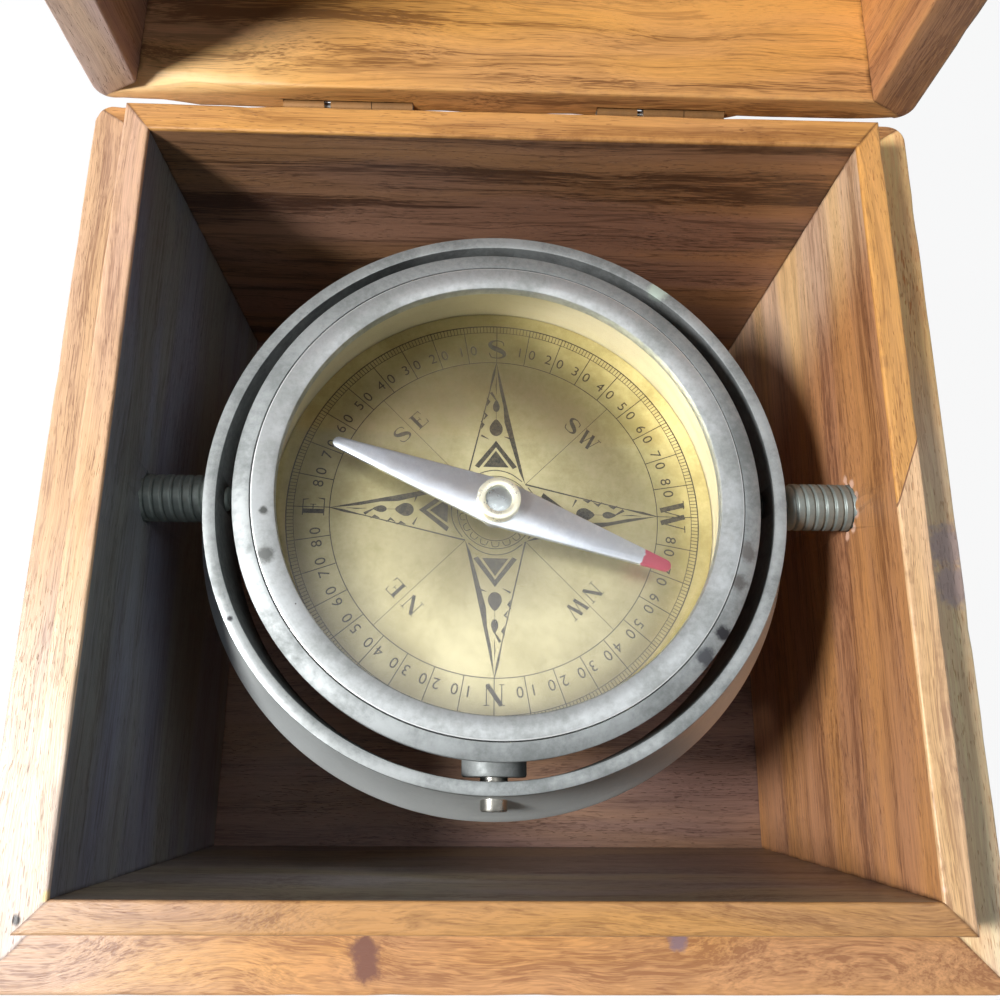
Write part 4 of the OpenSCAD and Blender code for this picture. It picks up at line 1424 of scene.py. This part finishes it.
FLOOR_SIZE = 1500
FLOOR_DROP = 0.05
FLOOR_GLOW = 0.92
AMBIENT = 0.075
AMBIENT_COLOUR = (0.45, 0.75, 1.0, 1.0)
ROOM = 0.48
CEILING = 2.6
BRIGHT_DIRECTION = (0.127, 0.06, 0.99)
DARK_ZONES = (((0.0, -0.5, 0.866), 0.75), ((0.03, 0.68, 0.733), 0.6))
KEY_POINT = Vector((-0.30, -0.05, 0.41))
KEY_SIZE = 0.11
KEY_POWER = 3.2
WINDOW_POINT = Vector((0.24, 0.10, 0.42))
WINDOW_SIZE = 0.25
WINDOW_POWER = 0.42
WINDOW_COLOUR = (0.8, 0.91, 1.0)
TOP_POINT = Vector((0.064, 0.03, 0.547))
TOP_SIZE = 0.5
TOP_POWER = 0.06
LIGHT_AIM = Vector((0.0, 0.0, 0.05))
CAMERA_POINT = Vector((-0.0033575, -0.031753, 0.173316))
CAMERA_RIGHT = Vector((0.99953516, 0.00690892, 0.02969393))
CAMERA_UP = Vector((-0.01476692, 0.96181963, 0.27328547))
CAMERA_LENS = 33.04


def build_stage():
    bm = bmesh.new()
    bmesh.ops.create_grid(bm, x_segments=1, y_segments=1, size=FLOOR_SIZE)
    floor = finish_mesh(bm, "floor", Matrix.Translation((0, 0, -FLOOR_DROP)))
    material, tree = new_material("floor_white")
    surface(tree, Base_Color=(0.86, 0.87, 0.88, 1.0), Roughness=0.9)
    path = add_node(tree, "ShaderNodeLightPath").outputs
    glow = add_node(tree, "ShaderNodeEmission", {"Color": WHITE, "Strength": 1.0})
    mix_surface(tree, times(tree, path["Is Camera Ray"], FLOOR_GLOW), glow)
    floor.data.materials.append(material)


def build_world():
    """A cool weak light for the surfaces, and a room with a bright ceiling for what mirrors it."""
    world = bpy.data.worlds.new("studio")
    world.use_nodes = True
    tree = world.node_tree
    bpy.context.scene.world = world
    path = add_node(tree, "ShaderNodeLightPath").outputs
    direction = add_node(tree, "ShaderNodeTexCoord").outputs["Generated"]
    light_left = 1.0
    for dark_direction, share in DARK_ZONES:
        toward = vector_math(tree, "DOT_PRODUCT", direction, dark_direction)
        dark = times(tree, between(tree, toward, 0.84, 0.97), share)
        light_left = times(tree, light_left, minus(tree, 1.0, dark))
    above = vector_math(tree, "DOT_PRODUCT", direction, BRIGHT_DIRECTION)
    room = plus(tree, times(tree, between(tree, above, 0.94, 0.998), CEILING - ROOM), ROOM)
    mirrored = blend_numbers(tree, path["Is Glossy Ray"], 1.0, times(tree, room, light_left))
    seen = calculate(tree, "MAXIMUM", path["Is Camera Ray"], path["Is Glossy Ray"])
    seen = calculate(tree, "MAXIMUM", seen, path["Is Transmission Ray"])
    strength = blend_numbers(tree, seen, AMBIENT, mirrored)
    tint = blend_colours(tree, seen, AMBIENT_COLOUR, WHITE)
    fill_inputs(tree, tree.nodes["Background"], {"Strength": strength, "Color": tint})


def area_light(name, point, size, power, colour=(1.0, 1.0, 1.0), shows=False):
    """A round lamp. Only the lamp that shows is seen in the metal and the glass."""
    light = bpy.data.lights.new(name, "AREA")
    light.shape = "DISK"
    light.size = size
    light.energy = power
    light.color = colour
    made = new_object(name, light)
    made.location = point
    made.rotation_euler = (point - LIGHT_AIM).to_track_quat("Z", "Y").to_euler()
    made.visible_glossy = shows
    made.visible_transmission = shows


def build_camera():
    data = bpy.data.cameras.new("camera")
    data.lens = CAMERA_LENS
    data.sensor_width = 36.0
    data.sensor_fit = "HORIZONTAL"
    data.clip_start = 0.005
    camera = new_object("camera", data)
    turn_to_view = Matrix((CAMERA_RIGHT, CAMERA_UP, CAMERA_RIGHT.cross(CAMERA_UP))).transposed().to_4x4()
    camera.matrix_world = Matrix.Translation(CAMERA_POINT) @ turn_to_view
    bpy.context.scene.camera = camera


build_case()
build_lid()
build_studs()
build_ring()
build_bowl()
build_bezel()
build_dial()
build_needle()
build_cap()
repaint_nodes()
build_stage()
build_world()
area_light("key", KEY_POINT, KEY_SIZE, KEY_POWER, shows=True)
area_light("window", WINDOW_POINT, WINDOW_SIZE, WINDOW_POWER, WINDOW_COLOUR)
area_light("overhead", TOP_POINT, TOP_SIZE, TOP_POWER)
build_camera()
bpy.context.scene.view_settings.view_transform = "Standard"
